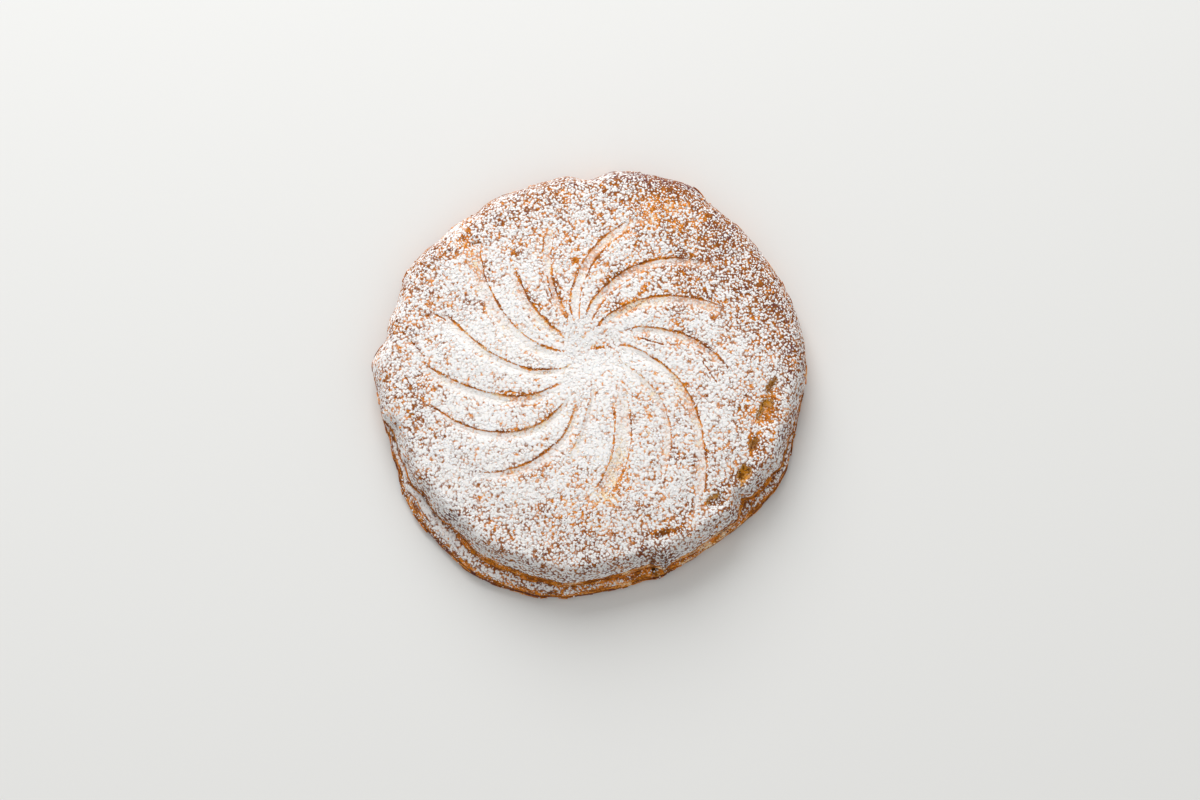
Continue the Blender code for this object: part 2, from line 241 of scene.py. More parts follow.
# Sizes and lengths of the uneven forms: the rim's layers and crags, and the lid's lumps.
LAYER_WAVE = 14.0
CRAG_SIZE = 0.7
CRAG_WAVE = 9.0
CRAG_LEVEL = 3.0
CRAG_SHIFT = 0.12
LUMP_SIZE = 0.7
LUMP_WAVE = 26.0
SMALL_LUMP_SIZE = 0.22
SMALL_LUMP_WAVE = 7.0

# ---- What the looks add to the solid's shape. ----

# Values kept on the points of the crust, for its material and for what lies on it. The slope is
# how far the surface is turned away from straight up.
LOOKS = ("toast", "sugar", "floor", "golden", "line", "gap", "pit")
POINT_VALUES = LOOKS + ("slope",)

COLUMNS_PER_GROOVE = 42
EDGE_HALF = 8
EDGE_MARGIN = 1.15
LID_RINGS = 108
RIM_RINGS = 46
RING_CROWDING = 1.22
RELAX_FROM = 0.8
RELAX_TO = 0.99
EVEN_START = -33.0
EVEN_SHARE = 0.65
PIT_CROWD_BEARING = -28.0
PIT_CROWD_SPREAD = 34.0
PIT_CROWD = 0.38
SETTLE_STEPS = 8
LIP_TABLE = 1440
LIP_EVENING = 5.0
RING_EVEN = 0.86
MERGE = 0.0001
BOX_STEP = 0.5

# Profile of a groove from its middle to its rim, in half widths: on the soft side, on the crisp.
SOFT_WALL = (0.05, 1.35)
CRISP_WALL = (0.70, 1.03)
CUT_DEPTH_SHARE = 0.75
CUT_RIDGE = 0.14
CUT_RIDGE_PLACE = 0.35
CUT_RIDGE_SPREAD = 0.55
CUT_WOBBLE = 0.45
CUT_WOBBLE_WAVE = 6.0

# Along a cut: how whole its line is, as mean, swing and least; how bare it is, as mean and swing.
CUT_BREAK_WAVE = 5.0
CUT_WHOLE = (0.92, 1.1, 0.35)
CUT_BARE_WAVE = 9.0
CUT_BARE = (0.45, 1.5)
# Golden bare strip inside each crisp edge, on the wall facing away from the light: partly bare cut
# crust, partly painted shade.
CUT_BARE_PLACE = 0.7
CUT_BARE_SPREAD = 0.75
CUT_SHADED_GOLDEN = 0.6
CUT_FLOOR = (0.7, 0.3)
# The crisp line is moved in onto the wall facing away from the light, so its dark colour lies where
# the shade falls: painted shade over bare cut crust.
LINE_SHADE_INSET = 0.4
LINE_WIDTHS = (0.8, 1.7)
LINE_REACH = 2.0
LINE_FAR = 4.0

# Looks of each groove: strength of its crisp line and of its other edge; then its golden part:
# from, to, place towards the crisp edge in half widths, strength. The crisp line's wall faces away
# from the light, so its dark line is partly the cut's bare crust and partly painted shade.
GROOVE_LOOKS = (
    (0.80, 0.30, 52.0, 72.0, 0.3, 0.50),
    (0.90, 0.20, 24.0, 40.0, 0.6, 0.90),
    (0.90, 0.35, 38.0, 54.0, 0.8, 0.60),
    (0.60, 0.60, 50.0, 68.0, 0.0, 0.30),
    (0.80, 0.40, 28.0, 52.0, 0.8, 0.40),
    (1.00, 0.30, 24.0, 56.0, 0.8, 0.40),
    (1.00, 0.25, 58.0, 92.0, 0.0, 0.25),
    (1.00, 0.25, 16.0, 34.0, 0.2, 0.20),
    (1.00, 0.30, 40.0, 58.0, 0.8, 0.80),
    (0.90, 0.25, 34.0, 66.0, 0.8, 0.60),
    (0.90, 0.20, 56.0, 94.0, -1.1, 0.30),
    (0.35, 0.30, 40.0, 60.0, 0.0, 0.10),
    (0.50, 0.60, 56.0, 84.0, -0.3, 0.55),
    (0.45, 0.15, 30.0, 60.0, 0.5, 0.20),
    (1.00, 0.20, 44.0, 74.0, 0.3, 0.50),
)
GOLDEN_SOFTNESS = 7.0
GOLDEN_SPREAD = 0.55

# Short creases in the lid: where along its half length a crease starts to fade; then for each
# one x, y, half length, half width, turn, depth.
CREASE_FULL = 0.45
CREASES = (
    (-95.8, 17.6, 8.6, 0.8, -47.6, 1.0),
    (-100.7, -1.1, 4.8, 0.7, -59.0, 0.8),
    (-83.0, 34.5, 5.4, 0.7, -30.0, 0.8),
    (-63.5, 76.4, 4.2, 0.6, 3.0, 1.2),
    (89.8, -36.6, 5.0, 0.9, 64.0, 1.2),
    (92.7, -19.9, 5.2, 0.8, 68.0, 1.0),
    (85.4, -10.4, 4.2, 0.6, 58.0, 0.7),
    (78.6, -53.0, 4.6, 0.6, 72.0, 0.6),
    (40.5, -85.8, 5.6, 0.8, 22.0, 0.9),
    (-18.0, 26.5, 3.2, 0.6, 150.0, 0.5),
    (3.6, 17.4, 3.6, 0.6, 4.0, 0.5),
    (-86.5, -16.0, 6.5, 0.6, -24.0, 0.6),
    (-35.3, -9.9, 6.5, 0.5, -8.0, 0.3),
    (-41.0, -8.0, 5.0, 0.5, -12.0, 0.3),
    (-24.8, 4.9, 8.5, 0.5, 2.0, 0.3),
    (-22.6, 51.5, 9.0, 0.5, 104.0, 0.3),
    (29.6, 42.6, 8.0, 0.5, 36.0, 0.3),
    (34.0, 20.4, 9.0, 0.5, -16.0, 0.3),
    (66.0, 3.5, 9.0, 0.5, -58.0, 0.3),
)

# Golden streaks and spots where the sugar came off: x, y, half length, half width, turn, strength.
STREAKS = (
    (5.5, 16.8, 4.0, 0.9, 4.0, 1.0),
    (-41.0, -51.0, 9.0, 3.0, 25.0, 0.4),
    (-64.0, 64.0, 13.0, 2.6, 108.0, 0.42),
    (3.0, 17.0, 1.4, 1.3, 0.0, 1.0),
    (-8.3, 65.4, 2.0, 1.8, 70.0, 1.0),
    (-59.0, 41.0, 3.2, 0.9, 118.0, 0.8),
    (-70.5, 79.5, 2.4, 1.5, 20.0, 0.7),
    (41.5, -84.2, 8.0, 1.4, 8.0, 0.7),
    (90.2, -35.5, 5.6, 2.8, 62.0, 0.6),
    (98.6, -17.5, 8.0, 3.4, 74.0, 0.55),
    (94.0, -22.0, 3.0, 1.0, 60.0, 1.0),
    (88.2, -33.0, 3.0, 1.0, 66.0, 1.0),
    (101.0, -9.5, 2.4, 1.0, 60.0, 1.0),
    (28.0, 47.0, 6.0, 1.2, 52.0, 0.7),
    (-30.0, -9.0, 5.0, 1.2, -12.0, 0.6),
    (-13.8, 35.6, 4.0, 1.6, 110.0, 0.6),
    (18.4, 40.0, 7.0, 1.6, 34.0, 0.8),
    (24.6, 38.4, 6.0, 1.3, 30.0, 0.9),
)
STREAK_STRENGTH = 1.7

# Walls of the pits: start and end of the fall on the steep side and on the gentle one.
PIT_STEEP = (0.62, 1.02)
PIT_GENTLE = (0.0, 1.35)
PIT_STEEP_TOWARDS = 135.0
PIT_UNEVEN = 0.36
PIT_WAVE = 3.2

# Open crumb in the pits: how bare each one is, and the crescent of it on the steep side.
PIT_BARE = (0.45, 0.05, 0.3, 0.95, 0.1, 0.0, 0.0)
PIT_BRINK = (0.62, 1.12)
PIT_CRESCENT_SIDE = (0.45, 0.85)
PIT_CRESCENT_REACH = (0.4, 0.75)
PIT_OPEN = (0.55, 0.45)

# Fine relief: blisters in the crust away from the hub, crinkles, and thin layers in the rim.
OUTER_PART = (0.35, 0.8)
BLISTER_SIZE = 0.5
BLISTER_WAVE = 4.2
BLISTER_LEVEL = 0.1
BLISTER_SHARE = (0.3, 0.7)
BLISTER_TOAST = 0.25
CRINKLE_SIZE = 0.2
CRINKLE_WAVE = 1.9
LAMINA_SIZE = 0.42
LAMINA_WAVE = 8.0
LAMINA_LEVEL = 20.0
LAMINA_THICKNESS = 0.85
LAMINA_TOAST = 0.18
LAMINA_END = 1.5

# Icing sugar over the lid: at the hub and at the lip, then x, y, reach, change of cover;
# and the same for how brown the crust is.
SUGAR_COVER = (0.76, 0.60)
SUGAR_THINS = (0.45, 1.0)
SUGAR_REGIONS = (
    (2.0, 8.0, 26.0, 0.12),
    (-62.0, -24.0, 46.0, 0.06),
    (56.0, 60.0, 40.0, -0.14),
    (56.0, 46.0, 22.0, -0.08),
    (86.0, 82.0, 24.0, -0.07),
    (60.0, 82.0, 18.0, -0.05),
    (38.0, 100.0, 16.0, -0.04),
    (44.0, 117.0, 22.0, -0.30),
    (-94.0, 0.0, 16.0, -0.11),
    (33.0, -22.0, 16.0, -0.09),
    (-16.0, 72.0, 14.0, -0.06),
    (0.0, -77.0, 16.0, -0.03),
    (61.0, 17.0, 16.0, 0.05),
    (102.0, 62.0, 22.0, -0.06),
    (34.0, 40.0, 14.0, 0.05),
    (-16.0, 92.0, 44.0, -0.08),
    (-86.0, 62.0, 22.0, -0.06),
    (-62.0, 44.0, 24.0, 0.10),
    (4.0, 58.0, 20.0, -0.04),
    (112.0, 30.0, 26.0, -0.11),
    (14.0, -72.0, 30.0, -0.05),
    (4.0, -104.0, 26.0, -0.02),
    (76.0, -70.0, 16.0, -0.05),
    (97.0, -22.0, 13.0, -0.08),
    (-104.0, 6.0, 28.0, 0.05),
    (-60.0, -50.0, 26.0, 0.05),
)
TOAST = (0.38, 0.54)
TOAST_REGIONS = (
    (0.0, 12.0, 32.0, -0.10),
    (44.0, 117.0, 11.0, 0.20),
    (60.0, 109.0, 10.0, 0.40),
    (46.0, 99.0, 14.0, -0.20),
    (41.0, -86.0, 7.0, -0.20),
    (0.0, -77.0, 18.0, -0.08),
    (30.0, 122.0, 14.0, 0.34),
    (8.0, 122.0, 14.0, 0.24),
    (92.0, 86.0, 20.0, 0.10),
    (30.0, 96.0, 20.0, -0.10),
    (114.0, 32.0, 20.0, 0.08),
    (54.0, 58.0, 34.0, 0.09),
    (98.0, 60.0, 26.0, 0.05),
    (108.0, -30.0, 12.0, 0.16),
    (6.0, -106.0, 20.0, 0.14),
    (40.0, -98.0, 14.0, 0.18),
    (-77.0, -74.0, 7.0, 0.36),
    (-106.0, 20.0, 40.0, -0.07),
    (-78.0, 80.0, 26.0, -0.06),
    (96.0, -22.0, 12.0, -0.30),
    (10.0, -66.0, 26.0, -0.10),
    (-66.0, 74.0, 12.0, -0.14),
)
EDGE_TOAST = 0.04
EDGE_BROWNS = (0.86, 0.98)
PATCH_WAVE = 17.0
PATCH_SIZE = 0.10

# Loose things: radius from and to, share of the height kept, share of the radius above the crust.
CLUMP_SHAPE = (0.26, 0.60, 0.72, 0.12)
GRAIN_SHAPE = (0.12, 0.24, 0.85, 0.20)
CRUMB_SHAPE = (0.30, 0.95, 0.80, 0.25)
LUMPINESS = 0.24
LUMP_LENGTH = (0.8, 1.25)
CLUMP_SEED = 11
GRAIN_SEED = 12
CRUMB_SEED = 13
FLAKE_SEED = 14

# Flakes along the rim: levels from and to, counted in rim stations, above and below the ledge,
# and the share of them above it; then the least and most of what is drawn for each flake.
FLAKE_BANDS = ((0.4, 4.4), (7.2, 12.4))
FLAKE_SHARE_ABOVE = 0.42
FLAKE_LENGTH = (3.0, 15.0)
FLAKE_DROP = (0.35, 1.3)
FLAKE_LIFT = (0.25, 1.0)
FLAKE_SLANT = (-0.35, 0.35)
FLAKE_LAST = 1.2

# One flake: its grid, thickness, torn edge, narrowing ends, and how it stands off the rim.
FLAKE_GRID = (9, 2)
FLAKE_THICKNESS = 0.16
FLAKE_TORN = 0.25
FLAKE_TORN_WAVES = (4.0, 2.0, 1.7)
FLAKE_TORN_OUT = 0.3
FLAKE_NARROWING = 1.8
FLAKE_LEAST_WIDTH = 0.05
FLAKE_SEAT = 0.12
FLAKE_RISE = 0.25
FLAKE_LOWEST = 0.3
FLAKE_TOAST = (0.42, 0.55)
FLAKE_WAVE = 6.0
FLAKE_SUGAR = 0.1
CRUMB_TOAST = (0.25, 0.8)
CRUMB_SUGAR = 0.3

# Where loose things lie: cover or distance over which they come, slope over which they end.
CLUMP_COVER = (0.05, 0.45)
CLUMP_SLOPE = (0.35, 0.7)
CLUMP_MOST = 1.5
CLUMP_GAP = (0.3, 1.0)
GRAIN_COVER = (-0.1, 0.4)
GRAIN_SLOPE = (0.5, 0.9)
CRUMB_DISTANCE = (100.0, 116.0)
CRUMB_SLOPE = (0.4, 0.9)
CRUMB_ELSEWHERE = 0.006
CRUMB_LOWEST = 4.0

# ---- Materials: colours as screen values, scales of patterns for each metre. ----

DOUGH = (243, 220, 182)
GOLDEN = (228, 138, 32)
BROWN = (142, 78, 24)
BURNT = (102, 58, 58)
PALE_CRUMB = (216, 164, 110)
GOLDEN_CRUMB = (222, 152, 40)
CRUMB_RIBS = (136, 86, 20)
CRUMB_BRINK = (150, 92, 28)
SUGAR_WHITE = (246, 244, 243)
# Darkest share of the sugar's colour, where its heaps thin out at their edges: painted shade.
HEAP_PAINTED_SHADE = 0.86
LUMP_SHADE = 0.88

CLOUD_SCALE = 130.0
SPECK_SCALE = 620.0
SUGAR_SCALE = 660.0
BROAD_SCALE = 85.0
CLOSE_SCALE = 300.0
WANDER_SCALE = 800.0
RIB_SCALE = 460.0
TONE_SCALE = 420.0
MOTTLE = 1.05
FLAKE_MOTTLE = 0.5

# How much of the sugar is a thin veil where the cover is low and where it is full.
VEIL_COVER = (0.42, 0.96)
VEIL_SHARE = (0.03, 0.8)

# Slopes between which the sugar slides off; slopes between which the light's fall is no longer
# evened, and how far it is evened on the level parts, as it is in a layer of sugar.
SUGAR_SLIDES = (0.62, 0.94)
SOFTENING_ENDS = (0.55, 0.95)
SOFTENING = 0.5

# What golden crust, scored lines and floors change in the browning and in the cover. The scored
# lines and the golden strips at the crisp edges are partly painted shade on walls facing away
# from the light.
TOAST_CHANGES = {"floor": -0.28, "golden": 0.05, "scored": 0.1}
COVER_CHANGES = {"floor": 0.06, "golden": -0.45, "scored": -0.75, "pit": -1.0}

# ---- Stage. ----

FLOOR_HALF = 3.0
FLOOR_ROUGHNESS = 0.6
LAMP_PLACE = (-0.55, 2.44, 1.55)
LAMP_AIM = (0.0, -0.02, 0.0)
LAMP_SIZE = 1.9
LAMP_POWER = 91.0
SURROUND_COLOUR = (1.0, 0.993, 0.975, 1.0)
SURROUND_STRENGTH = 0.57
LENS = 50.0
SENSOR_WIDTH = 36.0


def wrap(angle):
    """Bring bearings into the range -180 to 180 degrees."""
    return (angle + 180.0) % FULL_TURN - 180.0


def smooth(start, end, value):
    """Rise from 0 at the start to 1 at the end, with no kink."""
    share = np.clip((value - start) / (end - start), 0.0, 1.0)
    return share * share * (3.0 - 2.0 * share)


def grain(x, y, level):
    """Smooth noise between about -1 and 1 at each place, with its own pattern on each level."""
    x, y, level = np.broadcast_arrays(x, y, level)
    places = zip(x.ravel().tolist(), y.ravel().tolist(), level.ravel().tolist())
    values = [noise.noise(Vector(place)) for place in places]
    return np.array(values).reshape(x.shape)


def regions(x, y, base, spots):
    """A base value with soft round spots of change added to it."""
    value = np.full(np.shape(x), base)
    for centre_x, centre_y, reach, change in spots:
        value = value + change * np.exp(-((x - centre_x) ** 2 + (y - centre_y) ** 2) / reach ** 2)
    return value


def sheet_radius(bearing):
    """Radius of the lower sheet's edge about the middle of the outline."""
    radius = np.full(np.shape(bearing), MEAN_RADIUS)
    for order, size, crest in OUTLINE_WAVES:
        radius = radius + size * np.cos(np.radians(order * (bearing - crest)))
    for centre, spread, size in OUTLINE_LOBES:
        radius = radius + size * np.exp(-(wrap(bearing - centre) / spread) ** 2)
    return radius


def ledge_width(bearing):
    """Width of the step between the lid's lip and the lower sheet's edge."""
    turn = bearing % FULL_TURN
    width = np.zeros(np.shape(bearing))
    for start, end, size, rising, falling in LEDGES:
        rise = smooth(start - rising, start + rising, turn)
        fall = smooth(end - falling, end + falling, turn)
        width = width + size * (rise - fall)
    return width


def crags(bearing, wave, size, level):
    """Ragged in-and-out of the rim along its length, different at each level."""
    angle = np.radians(bearing)
    reach = MEAN_RADIUS / wave
    return size * grain(reach * np.cos(angle), reach * np.sin(angle), level)


def lip_radius(bearing):
    """Radius of the lid's lip about the middle of the outline."""
    ledge = ledge_width(bearing)
    return sheet_radius(bearing) - ledge + crags(bearing, CRAG_WAVE, CRAG_SIZE, CRAG_LEVEL)


def lip_table():
    """Distance from the hub to the lid's lip for bearings all the way round."""
    bearing = np.linspace(0.0, FULL_TURN, LIP_TABLE, endpoint=False)
    angle = np.radians(bearing)
    distance = np.full(LIP_TABLE, MEAN_RADIUS)
    for _ in range(SETTLE_STEPS):
        x = HUB[0] + distance * np.cos(angle)
        y = HUB[1] + distance * np.sin(angle)
        aim = lip_radius(np.degrees(np.arctan2(y, x)))
        distance = distance + aim - np.hypot(x, y)
    return bearing, distance


def evened(bearing, distance):
    """The lip's distances with their sudden steps spread over the neighbouring bearings."""
    apart = wrap(bearing - bearing[0])
    weight = np.exp(-(apart / LIP_EVENING) ** 2)
    spectrum = np.fft.rfft(distance) * np.fft.rfft(weight / weight.sum())
    return np.fft.irfft(spectrum, len(distance))


LIP_BEARINGS, LIP_DISTANCES = lip_table()
EVEN_DISTANCES = evened(LIP_BEARINGS, LIP_DISTANCES)


def lip_distance(bearing):
    """Distance from the hub to the lid's lip along a bearing about the hub."""
    return np.interp(bearing % FULL_TURN, LIP_BEARINGS, LIP_DISTANCES, period=FULL_TURN)


def even_distance(bearing):
    """The lip's distance with its steps evened out, which the dome follows."""
    return np.interp(bearing % FULL_TURN, LIP_BEARINGS, EVEN_DISTANCES, period=FULL_TURN)


def ring_distance(bearing, share):
    """Distance from the hub to a ring: evened on the dome, true at the lip."""
    even = even_distance(bearing)
    return share * (even + (lip_distance(bearing) - even) * smooth(RING_EVEN, 1.0, share))


def sweep_lean(distance):
    """How far a groove leans from straight outwards, as an angle in radians."""
    return np.arctan(np.radians(SWEEP_PER_MM) * distance)


def upper_side(bearing, distance):
    """1 where a groove's upper edge is on the side of larger bearings, -1 on the other side."""
    across = np.radians(bearing + 90.0 - UPWARD) + sweep_lean(distance)
    return np.clip(SIDE_GAIN * np.cos(across), -1.0, 1.0)


def groove_bearing(index, distance):
    """Bearing of a groove's middle about the hub, carried on along the common sweep."""
    inner, outer, start, end, bow, width, _, edge = np.moveaxis(GROOVES[index], -1, 0)
    share = np.clip((distance - inner) / (outer - inner), 0.0, 1.0)
    beyond = distance - np.clip(distance, inner, outer)
    bearing = start + (end - start) * share
    bearing = bearing + bow * 4.0 * share * (1.0 - share) + beyond * SWEEP_PER_MM
    shift = 0.5 * edge * width * smooth(inner - GROOVE_FADE_IN, inner + EDGE_SHIFT_RUN, distance)
    shift = shift * upper_side(bearing, distance)
    arc = np.maximum(distance, 1.0) * np.cos(sweep_lean(distance))
    return bearing - np.degrees(shift / arc)


def groove_strength(index, distance):
    """1 along a groove and 0 beyond its two ends."""
    inner, outer = GROOVES[index][:2]
    rise = smooth(inner - GROOVE_FADE_IN, inner + GROOVE_FADE_IN, distance)
    return rise * (1.0 - smooth(outer - GROOVE_FADE_OUT, outer + GROOVE_OVERRUN, distance))


def gap_to_next(index, distance):
    """Angle from a groove to the next one round, at a distance from the hub."""
    following = (index + 1) % len(GROOVES)
    return (groove_bearing(following, distance) - groove_bearing(index, distance)) % FULL_TURN


def groove_width(index, distance):
    """Width across a groove, held to a share of the gaps beside it near the hub."""
    before = (index - 1) % len(GROOVES)
    gap = np.minimum(gap_to_next(index, distance), gap_to_next(before, distance))
    width = np.moveaxis(GROOVES[index], -1, 0)[5]
    return np.minimum(width, GROOVE_SHARE * np.radians(gap) * distance)


def wall(outward, half, crispness):
    """1 inside a groove and 0 outside it, across one of its walls."""
    start = half * (SOFT_WALL[0] + (CRISP_WALL[0] - SOFT_WALL[0]) * crispness)
    end = half * (SOFT_WALL[1] + (CRISP_WALL[1] - SOFT_WALL[1]) * crispness)
    return 1.0 - smooth(start, end, outward)


def spiral(bearing, distance, x, y):
    """Relief of the petals and grooves, with the looks: floor, golden, line and gap to the line."""
    relief = np.zeros(np.shape(distance))
    floor = np.zeros(np.shape(distance))
    golden = np.zeros(np.shape(distance))
    line = np.zeros(np.shape(distance))
    gap_to_line = np.full(np.shape(distance), LINE_FAR)
    petals = smooth(PETAL_START, PETAL_FULL, distance)
    petals = petals * (1.0 - smooth(PETAL_END, PETAL_GONE, distance))
    arc = np.radians(1.0) * distance * np.cos(sweep_lean(distance))
    wobble = CUT_WOBBLE * grain(x / CUT_WOBBLE_WAVE, y / CUT_WOBBLE_WAVE, 7.0)
    whole = CUT_WHOLE[0] + CUT_WHOLE[1] * grain(x / CUT_BREAK_WAVE, y / CUT_BREAK_WAVE, 8.0)
    whole = np.clip(whole, CUT_WHOLE[2], 1.0)
    bare = CUT_BARE[0] + CUT_BARE[1] * grain(x / CUT_BARE_WAVE, y / CUT_BARE_WAVE, 12.0)
    bare = np.clip(bare, 0.0, 1.0)
    for index, groove in enumerate(GROOVES):
        first, second, gold_from, gold_to, gold_place, gold_strength = GROOVE_LOOKS[index]
        middle = groove_bearing(index, distance)
        offset = wrap(bearing - middle)
        across = offset * arc + wobble
        width = np.maximum(groove_width(index, distance), MERGE)
        half = 0.5 * width
        strength = groove_strength(index, distance)
        side = upper_side(middle, distance)
        towards = np.where(side < 0.0, -across, across)
        crispness = 0.5 + 0.5 * np.abs(side)
        cut = wall(towards, half, crispness) * wall(-towards, half, 1.0 - crispness)
        full_width, depth = groove[5:7]
        relief = relief - CUT_DEPTH_SHARE * depth * width / full_width * strength * cut
        beside = (towards - half - CUT_RIDGE_PLACE) / CUT_RIDGE_SPREAD
        relief = relief + CUT_RIDGE * strength * crispness * whole * np.exp(-beside ** 2)
        floor = np.maximum(floor, strength * cut * (CUT_FLOOR[0] + CUT_FLOOR[1] * bare))
        begun = smooth(gold_from - GOLDEN_SOFTNESS, gold_from + GOLDEN_SOFTNESS, distance)
        ended = smooth(gold_to - GOLDEN_SOFTNESS, gold_to + GOLDEN_SOFTNESS, distance)
        along = begun * (1.0 - ended)
        apart = (towards - gold_place * half) / (GOLDEN_SPREAD * width)
        golden = np.maximum(golden, gold_strength * along * np.exp(-apart ** 2))
        # At the crisp edge, whose wall faces away from the light: a golden bare strip and a dark
        # line, partly cut crust and partly painted shade; the other edge's line is weaker.
        apart = (towards - half + CUT_BARE_PLACE) / CUT_BARE_SPREAD
        golden = np.maximum(golden, CUT_SHADED_GOLDEN * first * strength * bare * np.exp(-apart ** 2))
        for gap, share in ((towards - half + LINE_SHADE_INSET, first), (towards + half, second)):
            gap = np.abs(gap) / (LINE_WIDTHS[0] + (LINE_WIDTHS[1] - LINE_WIDTHS[0]) * bare)
            near = strength * share * np.exp(-(gap / LINE_REACH) ** 2)
            gap_to_line = np.where(near > line, gap, gap_to_line)
            line = np.maximum(line, near)
        breadth = gap_to_next(index, distance)
        share = np.clip((offset % FULL_TURN) / np.maximum(breadth, MERGE), 0.0, 1.0)
        following = (index + 1) % len(GROOVES)
        held = strength + (groove_strength(following, distance) - strength) * share
        valley = held * (1.0 - (4.0 * share * (1.0 - share)) ** PETAL_ROUNDING)
        own = (offset % FULL_TURN) < breadth
        relief = relief + PETAL_RISE * petals * (1.0 - valley) * own
    return relief, np.stack((floor, golden, line * whole, np.minimum(gap_to_line, LINE_FAR)))


def turned(x, y, centre_x, centre_y, turn):
    """Distances along and aside of a turned line through a centre."""
    cosine, sine = math.cos(math.radians(turn)), math.sin(math.radians(turn))
    along = (x - centre_x) * cosine + (y - centre_y) * sine
    aside = (y - centre_y) * cosine - (x - centre_x) * sine
    return along, aside


def pits(x, y):
    """Relief of the small pits in the lid, and how far their crumb lies open at each point."""
    relief = np.zeros(np.shape(x))
    opened = np.zeros(np.shape(x))
    uneven = PIT_UNEVEN * grain(x / PIT_WAVE, y / PIT_WAVE, 9.0)
    for (centre_x, centre_y, half_length, half_width, turn, depth), bare in zip(PITS, PIT_BARE):
        along, aside = turned(x, y, centre_x, centre_y, turn)
        reach = np.hypot(along / half_length, aside / half_width) + uneven
        direction = np.arctan2(y - centre_y, x - centre_x) - math.radians(PIT_STEEP_TOWARDS)
        steep = 0.5 + 0.5 * np.cos(direction)
        start = PIT_GENTLE[0] + (PIT_STEEP[0] - PIT_GENTLE[0]) * steep
        end = PIT_GENTLE[1] + (PIT_STEEP[1] - PIT_GENTLE[1]) * steep
        share = 1.0 - smooth(start, end, reach)
        relief = relief - depth * share
        crescent = smooth(*PIT_CRESCENT_SIDE, steep) * smooth(*PIT_CRESCENT_REACH, reach)
        shown = (1.0 - smooth(*PIT_BRINK, reach)) * (crescent + (1.0 - crescent) * bare)
        shown = shown * (PIT_OPEN[0] + PIT_OPEN[1] * steep) * (bare > 0.0)
        opened = np.maximum(opened, shown)
    return relief, opened


def streaks(x, y):
    """How golden the streaks and spots in the lid are at each point."""
    golden = np.zeros(np.shape(x))
    for centre_x, centre_y, half_length, half_width, turn, strength in STREAKS:
        along, aside = turned(x, y, centre_x, centre_y, turn)
        apart = (along / half_length) ** 2 + (aside / half_width) ** 2
        golden = np.maximum(golden, STREAK_STRENGTH * strength * np.exp(-apart))
    return golden


def creases(x, y):
    """Relief of the short creases, with the strength of each as a line and the gap to it."""
    relief = np.zeros(np.shape(x))
    line = np.zeros(np.shape(x))
    gap = np.full(np.shape(x), LINE_FAR)
    wobble = CUT_WOBBLE * grain(x / PIT_WAVE, y / PIT_WAVE, 10.0)
    for centre_x, centre_y, half_length, half_width, turn, depth in CREASES:
        along, aside = turned(x, y, centre_x, centre_y, turn)
        aside = np.abs(aside + wobble)
        length = 1.0 - smooth(CREASE_FULL, 1.0, np.abs(along) / half_length)
        relief = relief - depth * length * np.exp(-(aside / half_width) ** 2)
        near = length * np.exp(-(aside / LINE_REACH) ** 2)
        gap = np.where(near > line, aside, gap)
        line = np.maximum(line, near)
    return relief, line, gap


def crown(share, distance, bearing):
    """Height of the plain dome over the share of the way from the hub to the lip."""
    way = np.minimum(distance / even_distance(bearing), 1.0)
    height = CROWN_HEIGHT + (SHOULDER_HEIGHT - CROWN_HEIGHT) * way ** CROWN_POWER
    height = height - HUB_DIP * np.exp(-(distance / HUB_DIP_RADIUS) ** 2)
    roll = np.maximum((share - 1.0 + LIP_ROLL) / LIP_ROLL, 0.0)
    return height - (SHOULDER_HEIGHT - LIP_HEIGHT) * roll ** LIP_ROLL_POWER


def edge_place(step):
    """Place across a groove of the columns crowded on it, from -0.5 to 0.5."""
    return 0.5 * step / EDGE_HALF


def column_bearing(column, distance, share):
    """Bearing of a column about the hub: crowded along its groove, even near the lip."""
    groove, place = np.divmod(column, COLUMNS_PER_GROOVE)
    following = (groove + 1) % len(GROOVES)
    gap = gap_to_next(groove, distance)
    arc = np.maximum(distance, 1.0)
    own = np.degrees(EDGE_MARGIN * groove_width(groove, distance) / arc)
    other = np.degrees(EDGE_MARGIN * groove_width(following, distance) / arc)
    free = (place - EDGE_HALF) / (COLUMNS_PER_GROOVE - 2.0 * EDGE_HALF)
    crowded = 0.5 * own + (gap - 0.5 * other - 0.5 * own) * free
    crowded = np.where(free < 0.0, edge_place(place) * own, crowded)
    late = gap + edge_place(place - COLUMNS_PER_GROOVE) * other
    crowded = np.where(free > 1.0, late, crowded)
    even = gap * place / COLUMNS_PER_GROOVE
    relax = smooth(RELAX_FROM, RELAX_TO, share)
    bearing = groove_bearing(groove, distance) + crowded + (even - crowded) * relax
    target = EVEN_START + FULL_TURN * column / (COLUMNS_PER_GROOVE * len(GROOVES))
    target = target + SWEEP_PER_MM * (distance - MEAN_RADIUS)
    from_pits = wrap(target - PIT_CROWD_BEARING)
    target = target - PIT_CROWD * from_pits * np.exp(-(from_pits / PIT_CROWD_SPREAD) ** 2)
    eased = EVEN_SHARE * smooth(RELAX_FROM, 1.0, share)
    return bearing + wrap(target - bearing) * eased


def settle(column, share):
    """Bearing about the hub at which each column meets a ring, by closing in on it."""
    bearing = column_bearing(column, share * MEAN_RADIUS, share)
    for _ in range(SETTLE_STEPS):
        bearing = column_bearing(column, ring_distance(bearing, share), share)
    return bearing


